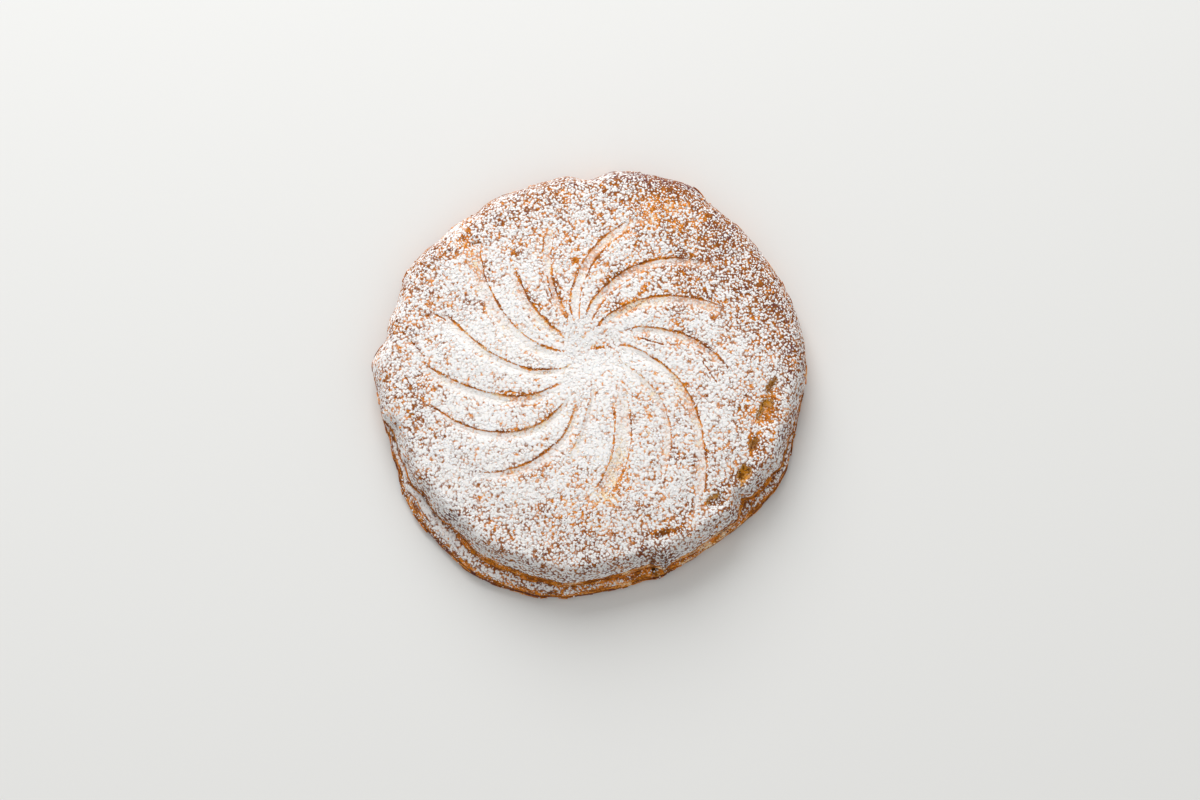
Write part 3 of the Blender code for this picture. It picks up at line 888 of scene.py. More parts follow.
def lid_places(column, share):
    """Places on the lid, with the looks of each in the order of LOOKS."""
    bearing = settle(column, share)
    distance = ring_distance(bearing, share)
    angle = np.radians(bearing)
    x = HUB[0] + distance * np.cos(angle)
    y = HUB[1] + distance * np.sin(angle)
    relief = LUMP_SIZE * grain(x / LUMP_WAVE, y / LUMP_WAVE, 1.0)
    relief = relief + SMALL_LUMP_SIZE * grain(x / SMALL_LUMP_WAVE, y / SMALL_LUMP_WAVE, 2.0)
    sunk, in_pit = pits(x, y)
    creased, crease_line, crease_gap = creases(x, y)
    swirl, (floor, golden, line, gap) = spiral(bearing, distance, x, y)
    calm = 1.0 - smooth(SPIRAL_CALM, 1.0, share)
    floor, line = floor * calm, line * calm
    golden = np.maximum(golden, streaks(x, y))
    gap = np.where(crease_line > line, crease_gap, gap)
    line = np.maximum(line, crease_line)
    blister = grain(x / BLISTER_WAVE, y / BLISTER_WAVE, 5.0)
    outward = smooth(*OUTER_PART, share) * (1.0 - floor)
    relief = relief + sunk + creased + swirl * calm
    raised = BLISTER_SHARE[0] + BLISTER_SHARE[1] * outward
    relief = relief + BLISTER_SIZE * np.maximum(blister - BLISTER_LEVEL, 0.0) * raised
    relief = relief + CRINKLE_SIZE * grain(x / CRINKLE_WAVE, y / CRINKLE_WAVE, 6.0) * (1.0 - floor)
    height = crown(share, distance, bearing) + relief * (1.0 - smooth(LID_CALM, 1.0, share))
    far = smooth(*SUGAR_THINS, share)
    patch = PATCH_SIZE * grain(x / PATCH_WAVE, y / PATCH_WAVE, 11.0)
    toast = regions(x, y, TOAST[0], TOAST_REGIONS) + (TOAST[1] - TOAST[0]) * far
    toast = toast + BLISTER_TOAST * np.maximum(blister, 0.0) * outward - patch
    toast = toast + EDGE_TOAST * smooth(*EDGE_BROWNS, share)
    cover = regions(x, y, SUGAR_COVER[0], SUGAR_REGIONS) + (SUGAR_COVER[1] - SUGAR_COVER[0]) * far
    cover = cover + patch
    return np.stack((x, y, height)), np.stack((toast, cover, floor, golden, line, gap, in_pit))


def rim_places(bearing, level):
    """Places on the rim below the lip, at a level counted in stations, with their looks."""
    count = len(RIM_STATIONS)
    levels = np.arange(count)
    ledge_share, inset, height, _, toast, cover = (
        np.interp(level, levels, RIM_STATIONS[:, item]) for item in range(6)
    )
    thin = THIN_WALL[2] * np.exp(-(wrap(bearing - THIN_WALL[0]) / THIN_WALL[1]) ** 2)
    ledge_share = ledge_share + thin * ledge_share * (1.0 - ledge_share)
    wall_share = smooth(0.0, 1.0, level) * (1.0 - smooth(*THIN_WALL_END, level))
    toast = toast + THIN_WALL_TOAST * thin * wall_share
    radius = sheet_radius(bearing) - ledge_share * ledge_width(bearing) - inset
    below = np.floor(level)
    blend = level - below
    for station, weight in ((below, 1.0 - blend), (np.minimum(below + 1, count - 1), blend)):
        size = RIM_STATIONS[station.astype(int), 3]
        radius = radius + weight * size * crags(bearing, LAYER_WAVE, 1.0, station - 1.0)
    shift = CRAG_LEVEL + CRAG_SHIFT * np.maximum(level - 1.0, 0.0)
    radius = radius + crags(bearing, CRAG_WAVE, CRAG_SIZE, shift)
    last = count - 1.0
    fade = smooth(0.0, 1.0, level) * (1.0 - smooth(last - LAMINA_END, last, level))
    lamina = crags(bearing, LAMINA_WAVE, 1.0, LAMINA_LEVEL + height / LAMINA_THICKNESS)
    radius = radius + LAMINA_SIZE * lamina * fade
    toast = toast - LAMINA_TOAST * lamina * fade
    angle = np.radians(bearing)
    plain = np.zeros(np.shape(level))
    x, y = radius * np.cos(angle), radius * np.sin(angle)
    toast = toast + regions(x, y, 0.0, RIM_TOAST_REGIONS)
    outer = smooth(*EDGE_CHARS_FROM, level)
    for centre, spread, change in EDGE_CHARS:
        toast = toast + change * outer * np.exp(-(wrap(bearing - centre) / spread) ** 2)
    cover = cover + regions(x, y, 0.0, RIM_SUGAR_REGIONS)
    looks = np.stack((toast, cover, plain, plain, plain, plain + LINE_FAR, plain))
    return np.stack((x, y, height)), looks


def frame_shift():
    """Move that brings the middle of the outline's box onto the middle of the node's box."""
    bearings = np.arange(0.0, FULL_TURN, BOX_STEP)
    places, _ = rim_places(*np.meshgrid(bearings, np.arange(float(len(RIM_STATIONS)))))
    reach = places[:2].reshape(2, -1)
    middle = (reach.min(axis=1) + reach.max(axis=1)) / 2.0 * MM
    low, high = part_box(NODE)
    across, along = ((low[axis] + high[axis]) / 2.0 - middle[axis] for axis in range(2))
    return np.array((across, along, 0.0))


SHIFT = frame_shift()


def spun_disc(rings, columns):
    """Spin a row of points into a disc whose rings and columns are counted in whole steps."""
    mesh = bmesh.new()
    row = [mesh.verts.new((float(ring), 0.0, 0.0)) for ring in range(rings + 1)]
    edges = [mesh.edges.new(pair) for pair in zip(row, row[1:])]
    bmesh.ops.spin(
        mesh,
        geom=row + edges,
        cent=(0.0, 0.0, 0.0),
        axis=(0.0, 0.0, 1.0),
        angle=math.radians(FULL_TURN),
        steps=columns,
        use_merge=True,
    )
    bmesh.ops.remove_doubles(mesh, verts=mesh.verts[:], dist=MERGE)
    return mesh


def crust_mesh():
    """The whole crust as one closed mesh, with the values of POINT_VALUES at each point."""
    columns = COLUMNS_PER_GROOVE * len(GROOVES)
    mesh = spun_disc(LID_RINGS + RIM_RINGS, columns)
    flat = np.array([vertex.co[:2] for vertex in mesh.verts])
    ring = np.rint(np.hypot(flat[:, 0], flat[:, 1])).astype(int)
    turn = np.degrees(np.arctan2(flat[:, 1], flat[:, 0])) / FULL_TURN
    column = np.rint(turn * columns).astype(int) % columns
    lip, _ = lid_places(np.arange(columns), np.ones(columns))
    lip_bearing = np.degrees(np.arctan2(lip[1], lip[0]))
    share = 1.0 - (1.0 - np.minimum(ring, LID_RINGS) / LID_RINGS) ** RING_CROWDING
    on_lid = ring <= LID_RINGS
    places = np.empty((3, len(ring)))
    looks = np.empty((len(LOOKS), len(ring)))
    places[:, on_lid], looks[:, on_lid] = lid_places(column[on_lid], share[on_lid])
    level = (ring[~on_lid] - LID_RINGS) / RIM_RINGS * (len(RIM_STATIONS) - 1.0)
    places[:, ~on_lid], looks[:, ~on_lid] = rim_places(lip_bearing[column[~on_lid]], level)
    for vertex, place in zip(mesh.verts, places.T * MM):
        vertex.co = place
    bmesh.ops.translate(mesh, verts=mesh.verts[:], vec=SHIFT)
    rim_edges = [edge for edge in mesh.edges if edge.is_boundary]
    bmesh.ops.contextual_create(mesh, geom=rim_edges)
    bmesh.ops.recalc_face_normals(mesh, faces=mesh.faces[:])
    mesh.normal_update()
    upright = np.array([vertex.normal.z for vertex in mesh.verts])
    slope = 1.0 - np.clip(upright, 0.0, 1.0)
    return mesh, np.vstack((looks, slope))


def mesh_data(name, mesh):
    """Turn a bmesh into a mesh of its own."""
    data = bpy.data.meshes.new(name)
    mesh.to_mesh(data)
    mesh.free()
    return data


def placed(name, data):
    """An object made from a mesh, a lamp or a camera and linked to the scene."""
    item = bpy.data.objects.new(name, data)
    bpy.context.scene.collection.objects.link(item)
    return item


def new_piece(name, data, material):
    """Make a mesh a piece that rides on the cake."""
    data.materials.append(material)
    piece = placed(name, data)
    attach(piece, BODY)
    return piece


def add_looks(data, names, looks):
    """Keep one value for each point under each name, for the materials to read."""
    for name, values in zip(names, looks):
        layer = data.attributes.new(name, "FLOAT", "POINT")
        layer.data.foreach_set("value", values.astype(np.float32))


def linear(red, green, blue):
    """A colour given as screen values from 0 to 255, as the linear values of a shader."""
    screen = np.array((red, green, blue)) / 255.0
    light = np.where(screen <= 0.04045, screen / 12.92, ((screen + 0.055) / 1.055) ** 2.4)
    return (*light.tolist(), 1.0)


class Graph:
    """Short ways to place and wire the nodes of a tree."""

    def __init__(self, tree):
        self.tree = tree

    def add(self, kind, **values):
        """Place a node; values whose names are properties are set on it."""
        node = self.tree.nodes.new(kind)
        for name, value in values.items():
            setattr(node, name, value)
        return node

    def wire(self, source, target):
        """Join an output, or set a plain value, on an input."""
        if isinstance(source, (int, float, tuple)):
            target.default_value = source
        else:
            self.tree.links.new(source, target)

    def maths(self, operation, first, second):
        """A maths node's result."""
        node = self.add("ShaderNodeMath", operation=operation)
        self.wire(first, node.inputs[0])
        self.wire(second, node.inputs[1])
        return node.outputs[0]

    def product(self, first, second):
        """Two values multiplied."""
        return self.maths("MULTIPLY", first, second)

    def shifted(self, value, *changes):
        """A value with each of some other values added, times an amount of its own."""
        for source, amount in changes:
            value = self.maths("ADD", value, self.product(source, amount))
        return value

    def ramp(self, value, low, high, start=0.0, end=1.0, soft=True):
        """Map a value from one range to another, held at the ends."""
        kind = "SMOOTHSTEP" if soft else "LINEAR"
        node = self.add("ShaderNodeMapRange", interpolation_type=kind, clamp=True)
        for socket, source in zip(node.inputs[:5], (value, low, high, start, end)):
            self.wire(source, socket)
        return node.outputs[0]

    def mix(self, share, first, second):
        """Blend two colours."""
        node = self.add("ShaderNodeMix", data_type="RGBA")
        self.wire(share, node.inputs[0])
        self.wire(first, node.inputs[6])
        self.wire(second, node.inputs[7])
        return node.outputs[2]

    def noise(self, place, scale, detail=2.0, roughness=0.5):
        """Cloudy noise about 0.5."""
        node = self.add("ShaderNodeTexNoise")
        self.wire(place, node.inputs["Vector"])
        self.wire(scale, node.inputs["Scale"])
        self.wire(detail, node.inputs["Detail"])
        self.wire(roughness, node.inputs["Roughness"])
        return node.outputs["Fac"]

    def point_value(self, name):
        """A value kept on the mesh's points."""
        return self.add("ShaderNodeAttribute", attribute_name=name).outputs["Fac"]

    def bump(self, height, strength, distance):
        """A bump node led by a height."""
        node = self.add("ShaderNodeBump")
        node.inputs["Strength"].default_value = strength
        node.inputs["Distance"].default_value = distance
        self.wire(height, node.inputs["Height"])
        return node


def new_group(name, inputs, outputs):
    """An empty shader group with named inputs and outputs."""
    group = bpy.data.node_groups.new(name, "ShaderNodeTree")
    for label, kind, value in inputs:
        socket = group.interface.new_socket(label, in_out="INPUT", socket_type=kind)
        if value is not None:
            socket.default_value = value
    for label, kind in outputs:
        group.interface.new_socket(label, in_out="OUTPUT", socket_type=kind)
    graph = Graph(group)
    return graph, graph.add("NodeGroupInput"), graph.add("NodeGroupOutput")


def baked_group():
    """Crust colour from how toasted it is, with fine mottling, and its height for a bump."""
    graph, given, result = new_group(
        "Baked crust",
        (
            ("Place", "NodeSocketVector", None),
            ("Toast", "NodeSocketFloat", 0.5),
            ("Mottle", "NodeSocketFloat", MOTTLE),
            ("Dough", "NodeSocketColor", linear(*DOUGH)),
            ("Golden", "NodeSocketColor", linear(*GOLDEN)),
            ("Brown", "NodeSocketColor", linear(*BROWN)),
            ("Burnt", "NodeSocketColor", linear(*BURNT)),
        ),
        (("Color", "NodeSocketColor"), ("Height", "NodeSocketFloat")),
    )
    place = given.outputs["Place"]
    cloud = graph.noise(place, CLOUD_SCALE, 3.0, 0.6)
    speck = graph.noise(place, SPECK_SCALE, 3.0, 0.6)
    spread = graph.maths("SUBTRACT", graph.product(cloud, 0.6), 0.3)
    fine = graph.maths("SUBTRACT", graph.product(speck, 0.5), 0.25)
    mottle = graph.product(graph.maths("ADD", spread, fine), given.outputs["Mottle"])
    toast = graph.shifted(given.outputs["Toast"], (mottle, 2.0))
    pale = graph.mix(graph.ramp(toast, 0.0, 0.3), given.outputs["Dough"], given.outputs["Golden"])
    tan = graph.mix(graph.ramp(toast, 0.25, 0.62), pale, given.outputs["Brown"])
    dark = graph.mix(graph.ramp(toast, 0.6, 1.0), tan, given.outputs["Burnt"])
    graph.wire(dark, result.inputs["Color"])
    graph.wire(graph.maths("ADD", cloud, speck), result.inputs["Height"])
    return graph.tree


def sugar_group():
    """Icing sugar: where it lies thick, how much of a thin veil there is, its height, and painted
    shade.
    """
    graph, given, result = new_group(
        "Icing sugar",
        (
            ("Place", "NodeSocketVector", None),
            ("Cover", "NodeSocketFloat", 0.7),
            ("Grain", "NodeSocketFloat", SUGAR_SCALE),
        ),
        (
            ("Thick", "NodeSocketFloat"),
            ("Veil", "NodeSocketFloat"),
            ("Height", "NodeSocketFloat"),
            ("Painted shade", "NodeSocketFloat"),
        ),
    )
    place = given.outputs["Place"]
    cloud = graph.noise(place, given.outputs["Grain"], 1.0)
    blobs = graph.product(graph.maths("SUBTRACT", cloud, 0.5), 0.6)
    cells = graph.add("ShaderNodeTexVoronoi", feature="F1")
    graph.wire(place, cells.inputs["Vector"])
    graph.wire(given.outputs["Grain"], cells.inputs["Scale"])
    dots = graph.maths("SUBTRACT", 0.48, cells.outputs["Distance"])
    field = graph.shifted(blobs, (dots, 0.8))
    broad = graph.ramp(graph.noise(place, BROAD_SCALE), 0.3, 0.7, -0.08, 0.08)
    close = graph.ramp(graph.noise(place, CLOSE_SCALE, 1.0), 0.3, 0.7, -0.09, 0.09)
    cover = graph.maths("ADD", given.outputs["Cover"], graph.maths("ADD", broad, close))
    edge = graph.ramp(cover, 0.0, 1.0, 0.30, -0.30, soft=False)
    over = graph.maths("SUBTRACT", field, edge)
    some = graph.ramp(cover, 0.02, 0.18)
    thick = graph.ramp(over, -0.015, 0.03)
    veil = graph.ramp(cover, *VEIL_COVER, *VEIL_SHARE)
    thin = graph.product(graph.ramp(over, -0.30, 0.0), veil)
    height = graph.ramp(over, -0.03, 0.22)
    for value, name in ((thick, "Thick"), (thin, "Veil"), (height, "Height")):
        graph.wire(graph.product(value, some), result.inputs[name])
    # Painted shade: the sugar is darker where its heaps thin out towards their edges.
    graph.wire(graph.ramp(over, -0.02, 0.22, soft=False), result.inputs["Painted shade"])
    return graph.tree


def shared_groups():
    """The baked crust and icing sugar groups, made once for all materials."""
    groups = bpy.data.node_groups
    baked = groups.get("Baked crust") or baked_group()
    sugar = groups.get("Icing sugar") or sugar_group()
    return baked, sugar


def softened_normal(graph, slope):
    """The surface's normal, leant towards straight up where the surface is nearly level."""
    normal = graph.add("ShaderNodeNewGeometry").outputs["Normal"]
    upright = graph.add("ShaderNodeVectorTransform", vector_type="NORMAL")
    upright.inputs[0].default_value = (0.0, 0.0, 1.0)
    share = graph.ramp(slope, *SOFTENING_ENDS, SOFTENING, 0.0)
    blend = graph.add("ShaderNodeMix", data_type="VECTOR")
    graph.wire(share, blend.inputs[0])
    graph.wire(normal, blend.inputs[4])
    graph.wire(upright.outputs[0], blend.inputs[5])
    unit = graph.add("ShaderNodeVectorMath", operation="NORMALIZE")
    graph.wire(blend.outputs[1], unit.inputs[0])
    return unit.outputs[0]


def shader_material(name):
    """A new material with its tree, its shader and the object's own coordinates."""
    material = bpy.data.materials.new(name)
    material.use_nodes = True
    graph = Graph(material.node_tree)
    shader = material.node_tree.nodes["Principled BSDF"]
    place = graph.add("ShaderNodeTexCoord").outputs["Object"]
    return material, graph, shader, place


def place_group(graph, tree, **values):
    """Place a node group in a tree and fill its inputs."""
    node = graph.add("ShaderNodeGroup", node_tree=tree)
    for label, value in values.items():
        graph.wire(value, node.inputs[label])
    return node


def sugar_tone(looks, share=1.0):
    """The sugar's colour, or a darker share of it for painted shade on heaps and the lumps' uneven
    tone.
    """
    return tuple(share * channel for channel in looks.sugar_colour) + (1.0,)


def open_crumb(graph, place, wander, pit, crust):
    """Colour of the pits' open crumb, with darker ribs and a brown brink, over the crust's."""
    depth = graph.maths("ADD", pit, graph.ramp(wander, 0.3, 0.7, -0.3, 0.3, soft=False))
    pale = graph.mix(graph.ramp(depth, 0.3, 0.8), linear(*PALE_CRUMB), linear(*GOLDEN_CRUMB))
    ribs = graph.ramp(graph.noise(place, RIB_SCALE, 2.0, 0.6), 0.46, 0.58)
    ribs = graph.product(ribs, graph.ramp(depth, 0.4, 0.7))
    hollow = graph.mix(ribs, pale, linear(*CRUMB_RIBS))
    brink = graph.mix(graph.ramp(depth, 0.02, 0.2), crust, linear(*CRUMB_BRINK))
    return graph.mix(graph.ramp(depth, 0.2, 0.45), brink, hollow)


def crust_material(looks, baked, sugar):
    """Baked crust with icing sugar over it, both led by the values kept on the mesh."""
    material, graph, shader, place = shader_material("baked_crust")
    read = {name: graph.point_value(name) for name in POINT_VALUES}
    floor, golden, slope = read["floor"], read["golden"], read["slope"]
    wander = graph.noise(place, WANDER_SCALE, 2.0, 0.6)
    # Scored lines: darker crust with less sugar, partly the cut's bare crust and partly painted
    # shade on groove walls facing away from the light.
    strayed = graph.maths("ADD", read["gap"], graph.ramp(wander, 0.2, 0.8, -0.5, 0.5, soft=False))
    scored = graph.ramp(strayed, 0.22, 0.6, 1.0, 0.0)
    scored = graph.product(scored, graph.ramp(read["line"], 0.1, 0.65))
    read["scored"] = scored
    toast = graph.shifted(
        read["toast"], *((read[name], change) for name, change in TOAST_CHANGES.items())
    )
    crust = place_group(graph, baked, Place=place, Toast=toast)
    crumb = open_crumb(graph, place, wander, read["pit"], crust.outputs["Color"])
    cover = graph.shifted(
        read["sugar"], *((read[name], change) for name, change in COVER_CHANGES.items())
    )
    cover = graph.product(cover, graph.ramp(slope, *SUGAR_SLIDES, 1.0, 0.0))
    dust = place_group(graph, sugar, Place=place, Cover=cover)
    white = sugar_tone(looks)
    smoothed = graph.product(floor, graph.ramp(golden, 0.2, 0.7, 0.42, 0.2))
    smoothed = graph.product(smoothed, graph.maths("SUBTRACT", 1.0, scored))
    veiled = graph.mix(graph.maths("MAXIMUM", dust.outputs["Veil"], smoothed), crumb, white)
    # Thick sugar, darker where its heaps thin out at their edges: painted shade.
    heap_with_painted_shade = graph.mix(dust.outputs["Painted shade"], sugar_tone(looks, HEAP_PAINTED_SHADE), white)
    thick = graph.product(dust.outputs["Thick"], graph.ramp(floor, 0.15, 0.9, 1.0, 0.72))
    graph.wire(graph.mix(thick, veiled, heap_with_painted_shade), shader.inputs["Base Color"])
    rough = graph.ramp(dust.outputs["Thick"], 0.0, 1.0, 0.5, 0.92)
    graph.wire(rough, shader.inputs["Roughness"])
    shader.inputs["Specular IOR Level"].default_value = 0.08
    shader.inputs["Subsurface Weight"].default_value = 0.4
    shader.inputs["Subsurface Radius"].default_value = (1.0, 0.9, 0.8)
    shader.inputs["Subsurface Scale"].default_value = 0.003
    height = graph.shifted(dust.outputs["Height"], (crust.outputs["Height"], 0.22))
    bump = graph.bump(height, 0.6, 0.4 * MM)
    graph.wire(softened_normal(graph, slope), bump.inputs["Normal"])
    graph.wire(bump.outputs["Normal"], shader.inputs["Normal"])
    return material


def sugar_material(looks):
    """Loose icing sugar, slightly uneven in tone."""
    material, graph, shader, place = shader_material("icing_sugar")
    tone = graph.ramp(graph.noise(place, TONE_SCALE), 0.3, 0.7)
    colour = graph.mix(tone, sugar_tone(looks, LUMP_SHADE), sugar_tone(looks))
    graph.wire(colour, shader.inputs["Base Color"])
    shader.inputs["Roughness"].default_value = 0.95
    shader.inputs["Specular IOR Level"].default_value = 0.2
    return material


def flake_material(looks, baked, sugar):
    """Thin flakes and crumbs of baked crust with a little sugar."""
    material, graph, shader, place = shader_material("flaky_pastry")
    toast = graph.point_value("toast")
    crust = place_group(graph, baked, Place=place, Toast=toast, Mottle=FLAKE_MOTTLE)
    dust = place_group(graph, sugar, Place=place, Cover=graph.point_value("sugar"))
    white = sugar_tone(looks)
    colour = graph.mix(dust.outputs["Veil"], crust.outputs["Color"], white)
    colour = graph.mix(dust.outputs["Thick"], colour, white)
    graph.wire(colour, shader.inputs["Base Color"])
    graph.wire(graph.ramp(dust.outputs["Thick"], 0.0, 1.0, 0.45, 0.9), shader.inputs["Roughness"])
    shader.inputs["Specular IOR Level"].default_value = 0.2
    bump = graph.bump(crust.outputs["Height"], 0.5, 0.3 * MM)
    graph.wire(bump.outputs["Normal"], shader.inputs["Normal"])
    return material


# ---- Pieces. ----


def read_out(items, name, size=1, kind=np.float32):
    """Values of one name, from each of a mesh's items, as an array."""
    values = np.empty(len(items) * size, kind)
    items.foreach_get(name, values)
    return values.reshape(-1, size) if size > 1 else values


def build_crust(looks, baked, sugar):
    """The crust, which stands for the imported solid."""
    mesh, values = crust_mesh()
    for face in mesh.faces:
        face.smooth = len(face.verts) <= 4
    material = crust_material(looks, baked, sugar)
    piece = new_piece("crust", mesh_data("crust", mesh), material)
    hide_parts(NODE)
    add_looks(piece.data, POINT_VALUES, values)


def in_order(corners):
    """Triangles that each start at their lowest corner, sorted, so that each run has the same."""
    first = corners.argmin(axis=1)[:, None]
    turned_corners = np.take_along_axis(corners, (first + np.arange(3)) % 3, axis=1)
    return turned_corners[np.lexsort(turned_corners.T[::-1])]


def scatter(piece, weigh, count, random):
    """Random places on a piece's mesh with their normals, chosen by area and by looks."""
    data = piece.data
    data.calc_loop_triangles()
    corners = in_order(read_out(data.loop_triangles, "vertices", 3, np.int32))
    points = read_out(data.vertices, "co", 3)
    normals = read_out(data.vertex_normals, "vector", 3)
    looks = {name: read_out(data.attributes[name].data, "value") for name in POINT_VALUES}
    sides = points[corners[:, 1:]] - points[corners[:, :1]]
    area = np.linalg.norm(np.cross(sides[:, 0], sides[:, 1]), axis=1)
    weight = weigh(points, looks)[corners].mean(axis=1)
    chances = np.cumsum(area * weight, dtype=np.float64)
    chosen = corners[np.searchsorted(chances, random.random(count) * chances[-1])]
    shares = random.dirichlet((1.0, 1.0, 1.0), count)[:, :, None]
    place = (shares * points[chosen]).sum(axis=1)
    normal = (shares * normals[chosen]).sum(axis=1)
    return place, normal / np.linalg.norm(normal, axis=1, keepdims=True)


def frames_on(normals, random):
    """For each normal, three directions at right angles, turned at random about the normal."""
    across = np.cross(normals, random.normal(size=normals.shape))
    across = across / np.linalg.norm(across, axis=1, keepdims=True)
    return np.stack((across, np.cross(normals, across), normals), axis=2)


def lump_copies(name, places, normals, shape, random):
    """Many small uneven lumps on a surface, as one mesh of joined copies of one lump."""
    low, high, flatness, above = shape
    lump = bmesh.new()
    bmesh.ops.create_icosphere(lump, subdivisions=1, radius=1.0)
    points = np.array([vertex.co[:] for vertex in lump.verts])
    faces = np.array([[vertex.index for vertex in face.verts] for face in lump.faces])
    lump.free()
    count = len(places)
    size = (low + (high - low) * random.random(count) ** 2.0) * MM
    length = random.uniform(*LUMP_LENGTH, count)
    stretch = np.stack((length, np.ones(count), np.full(count, flatness)), axis=1)
    uneven = 1.0 + LUMPINESS * random.uniform(-1.0, 1.0, (count, len(points), 1))
    local = points * uneven * (stretch * size[:, None])[:, None, :]
    turned_points = np.einsum("nij,nvj->nvi", frames_on(normals, random), local)
    middle = places + normals * (above * size)[:, None]
    every_point = (turned_points + middle[:, None, :]).reshape(-1, 3)
    every_face = (faces[None] + len(points) * np.arange(count)[:, None, None]).reshape(-1, 3)
    data = bpy.data.meshes.new(name)
    data.from_pydata(every_point.tolist(), [], every_face.tolist())
    data.shade_smooth()
    return data, len(points)


def crust_piece():
    """The crust, which the loose things lie on."""
    if "crust" not in bpy.data.objects:
        raise RuntimeError("the crust has to be built first")
    return bpy.data.objects["crust"]


def clump_weight(_, looks):
    """Clumps stand out where the sugar is thin, and keep off steep, scored and sunken places."""
    cover = looks["sugar"] - 0.4 * looks["golden"] - 0.9 * looks["pit"]
    level = 1.0 - smooth(*CLUMP_SLOPE, looks["slope"])
    scored = looks["line"] * (1.0 - smooth(*CLUMP_GAP, looks["gap"]))
    weight = level * smooth(*CLUMP_COVER, cover) * (CLUMP_MOST - cover)
    return weight * (1.0 - 0.9 * scored) * (1.0 - 0.8 * looks["floor"])


def grain_weight(_, looks):
    """Fine grains lie everywhere but on the steep sides."""
    level = 1.0 - smooth(*GRAIN_SLOPE, looks["slope"])
    return level * smooth(*GRAIN_COVER, looks["sugar"]) * (1.0 - 0.5 * looks["floor"])


def crumb_weight(points, looks):
    """Crumbs gather on the ledge and at the lip."""
    away = np.hypot(points[:, 0], points[:, 1]) / MM
    level = 1.0 - smooth(*CRUMB_SLOPE, looks["slope"])
    near_lip = CRUMB_ELSEWHERE + smooth(*CRUMB_DISTANCE, away)
    return level * near_lip * (points[:, 2] > CRUMB_LOWEST * MM)


def build_sugar(looks):
    """Loose clumps and fine grains of icing sugar."""
    crust = crust_piece()
    material = sugar_material(looks)
    kinds = (
        ("sugar_clumps", clump_weight, looks.clumps, CLUMP_SHAPE, CLUMP_SEED),
        ("sugar_grains", grain_weight, looks.grains, GRAIN_SHAPE, GRAIN_SEED),
    )
    for name, weigh, count, shape, seed in kinds:
        random = np.random.default_rng(seed)
        data, _ = lump_copies(name, *scatter(crust, weigh, count, random), shape, random)
        new_piece(name, data, material)


def build_crumbs(looks, material):
    """Crumbs of pastry on the ledge and at the lip."""
    random = np.random.default_rng(CRUMB_SEED)
    spots = scatter(crust_piece(), crumb_weight, looks.crumbs, random)
    data, size = lump_copies("crumbs", *spots, CRUMB_SHAPE, random)
    toast = np.repeat(random.uniform(*CRUMB_TOAST, looks.crumbs), size)
    add_looks(data, ("toast", "sugar"), (toast, np.full(len(toast), CRUMB_SUGAR)))
    new_piece("crumbs", data, material)


def flake_places(u, v, index, random):
    """Places of one flake's grid, drawn at random along the rim and lifted off it."""
    low, high = FLAKE_BANDS[int(random.random() > FLAKE_SHARE_ABOVE)]
    bearing = random.uniform(0.0, FULL_TURN)
    level = random.uniform(low, high)
    span = math.degrees(random.uniform(*FLAKE_LENGTH) / MEAN_RADIUS)
    drop = random.uniform(*FLAKE_DROP)
    lift = random.uniform(*FLAKE_LIFT)
    slant = random.uniform(*FLAKE_SLANT)
    waves = (u * FLAKE_TORN_WAVES[0], v * FLAKE_TORN_WAVES[1], index * FLAKE_TORN_WAVES[2])
    torn = FLAKE_TORN * grain(*waves)
    taper = np.sqrt(np.maximum(1.0 - (FLAKE_NARROWING * u) ** 2, FLAKE_LEAST_WIDTH))
    levels = level + slant * u + (v + torn) * drop * taper
    levels = np.clip(levels, 0.0, len(RIM_STATIONS) - FLAKE_LAST)
    places, _ = rim_places(bearing + span * u, levels)
    out = (0.5 - v) * lift + FLAKE_TORN_OUT * torn - FLAKE_SEAT
    outwards = np.hypot(places[0], places[1])
    places[:2] *= (outwards + out) / outwards
    places[2] = np.maximum(places[2] + FLAKE_RISE * out, FLAKE_LOWEST)
    return places


def build_flakes(looks, material):
    """Thin flakes of pastry that lift off the layers of the rim."""
    random = np.random.default_rng(FLAKE_SEED)
    mesh = bmesh.new()
    for index in range(looks.flakes):
        grid = bmesh.ops.create_grid(
            mesh, x_segments=FLAKE_GRID[0], y_segments=FLAKE_GRID[1], size=0.5
        )["verts"]
        u, v = np.array([vertex.co[:2] for vertex in grid]).T
        places = flake_places(u, v, index, random)
        for vertex, place in zip(grid, places.T * MM + SHIFT):
            vertex.co = place
    bmesh.ops.recalc_face_normals(mesh, faces=mesh.faces[:])
    bmesh.ops.solidify(mesh, geom=mesh.faces[:], thickness=FLAKE_THICKNESS * MM)
    data = mesh_data("flakes", mesh)
    data.shade_smooth()
    x, y, z = read_out(data.vertices, "co", 3).T / MM
    uneven = grain(x / FLAKE_WAVE, y / FLAKE_WAVE, z / LAMINA_THICKNESS)
    toast = FLAKE_TOAST[0] + FLAKE_TOAST[1] * uneven
    add_looks(data, ("toast", "sugar"), (toast, np.full(len(x), FLAKE_SUGAR)))
    new_piece("flakes", data, material)


def counted(name, description, default, most):
    """A setting that says how many of something there are."""
    return IntProperty(name=name, description=description, default=default, min=1, max=most)


class PastryLooks(bpy.types.PropertyGroup):
    """What a user would change about the cake."""

    sugar_colour: FloatVectorProperty(
        name="Sugar colour",
        description="Colour of the icing sugar where it lies thick",
        subtype="COLOR",
        size=3,
        min=0.0,
        max=1.0,
        default=linear(*SUGAR_WHITE)[:3],
    )
    clumps: counted("Clumps", "Clumps of icing sugar that stand up from the crust", 9800, 9900)
    grains: counted("Grains", "Fine grains of icing sugar that lie loose", 9800, 9900)
    flakes: counted("Flakes", "Thin flakes that lift off the rim", 340, 900)
    crumbs: counted("Crumbs", "Crumbs on the ledge and at the lip", 420, 3000)


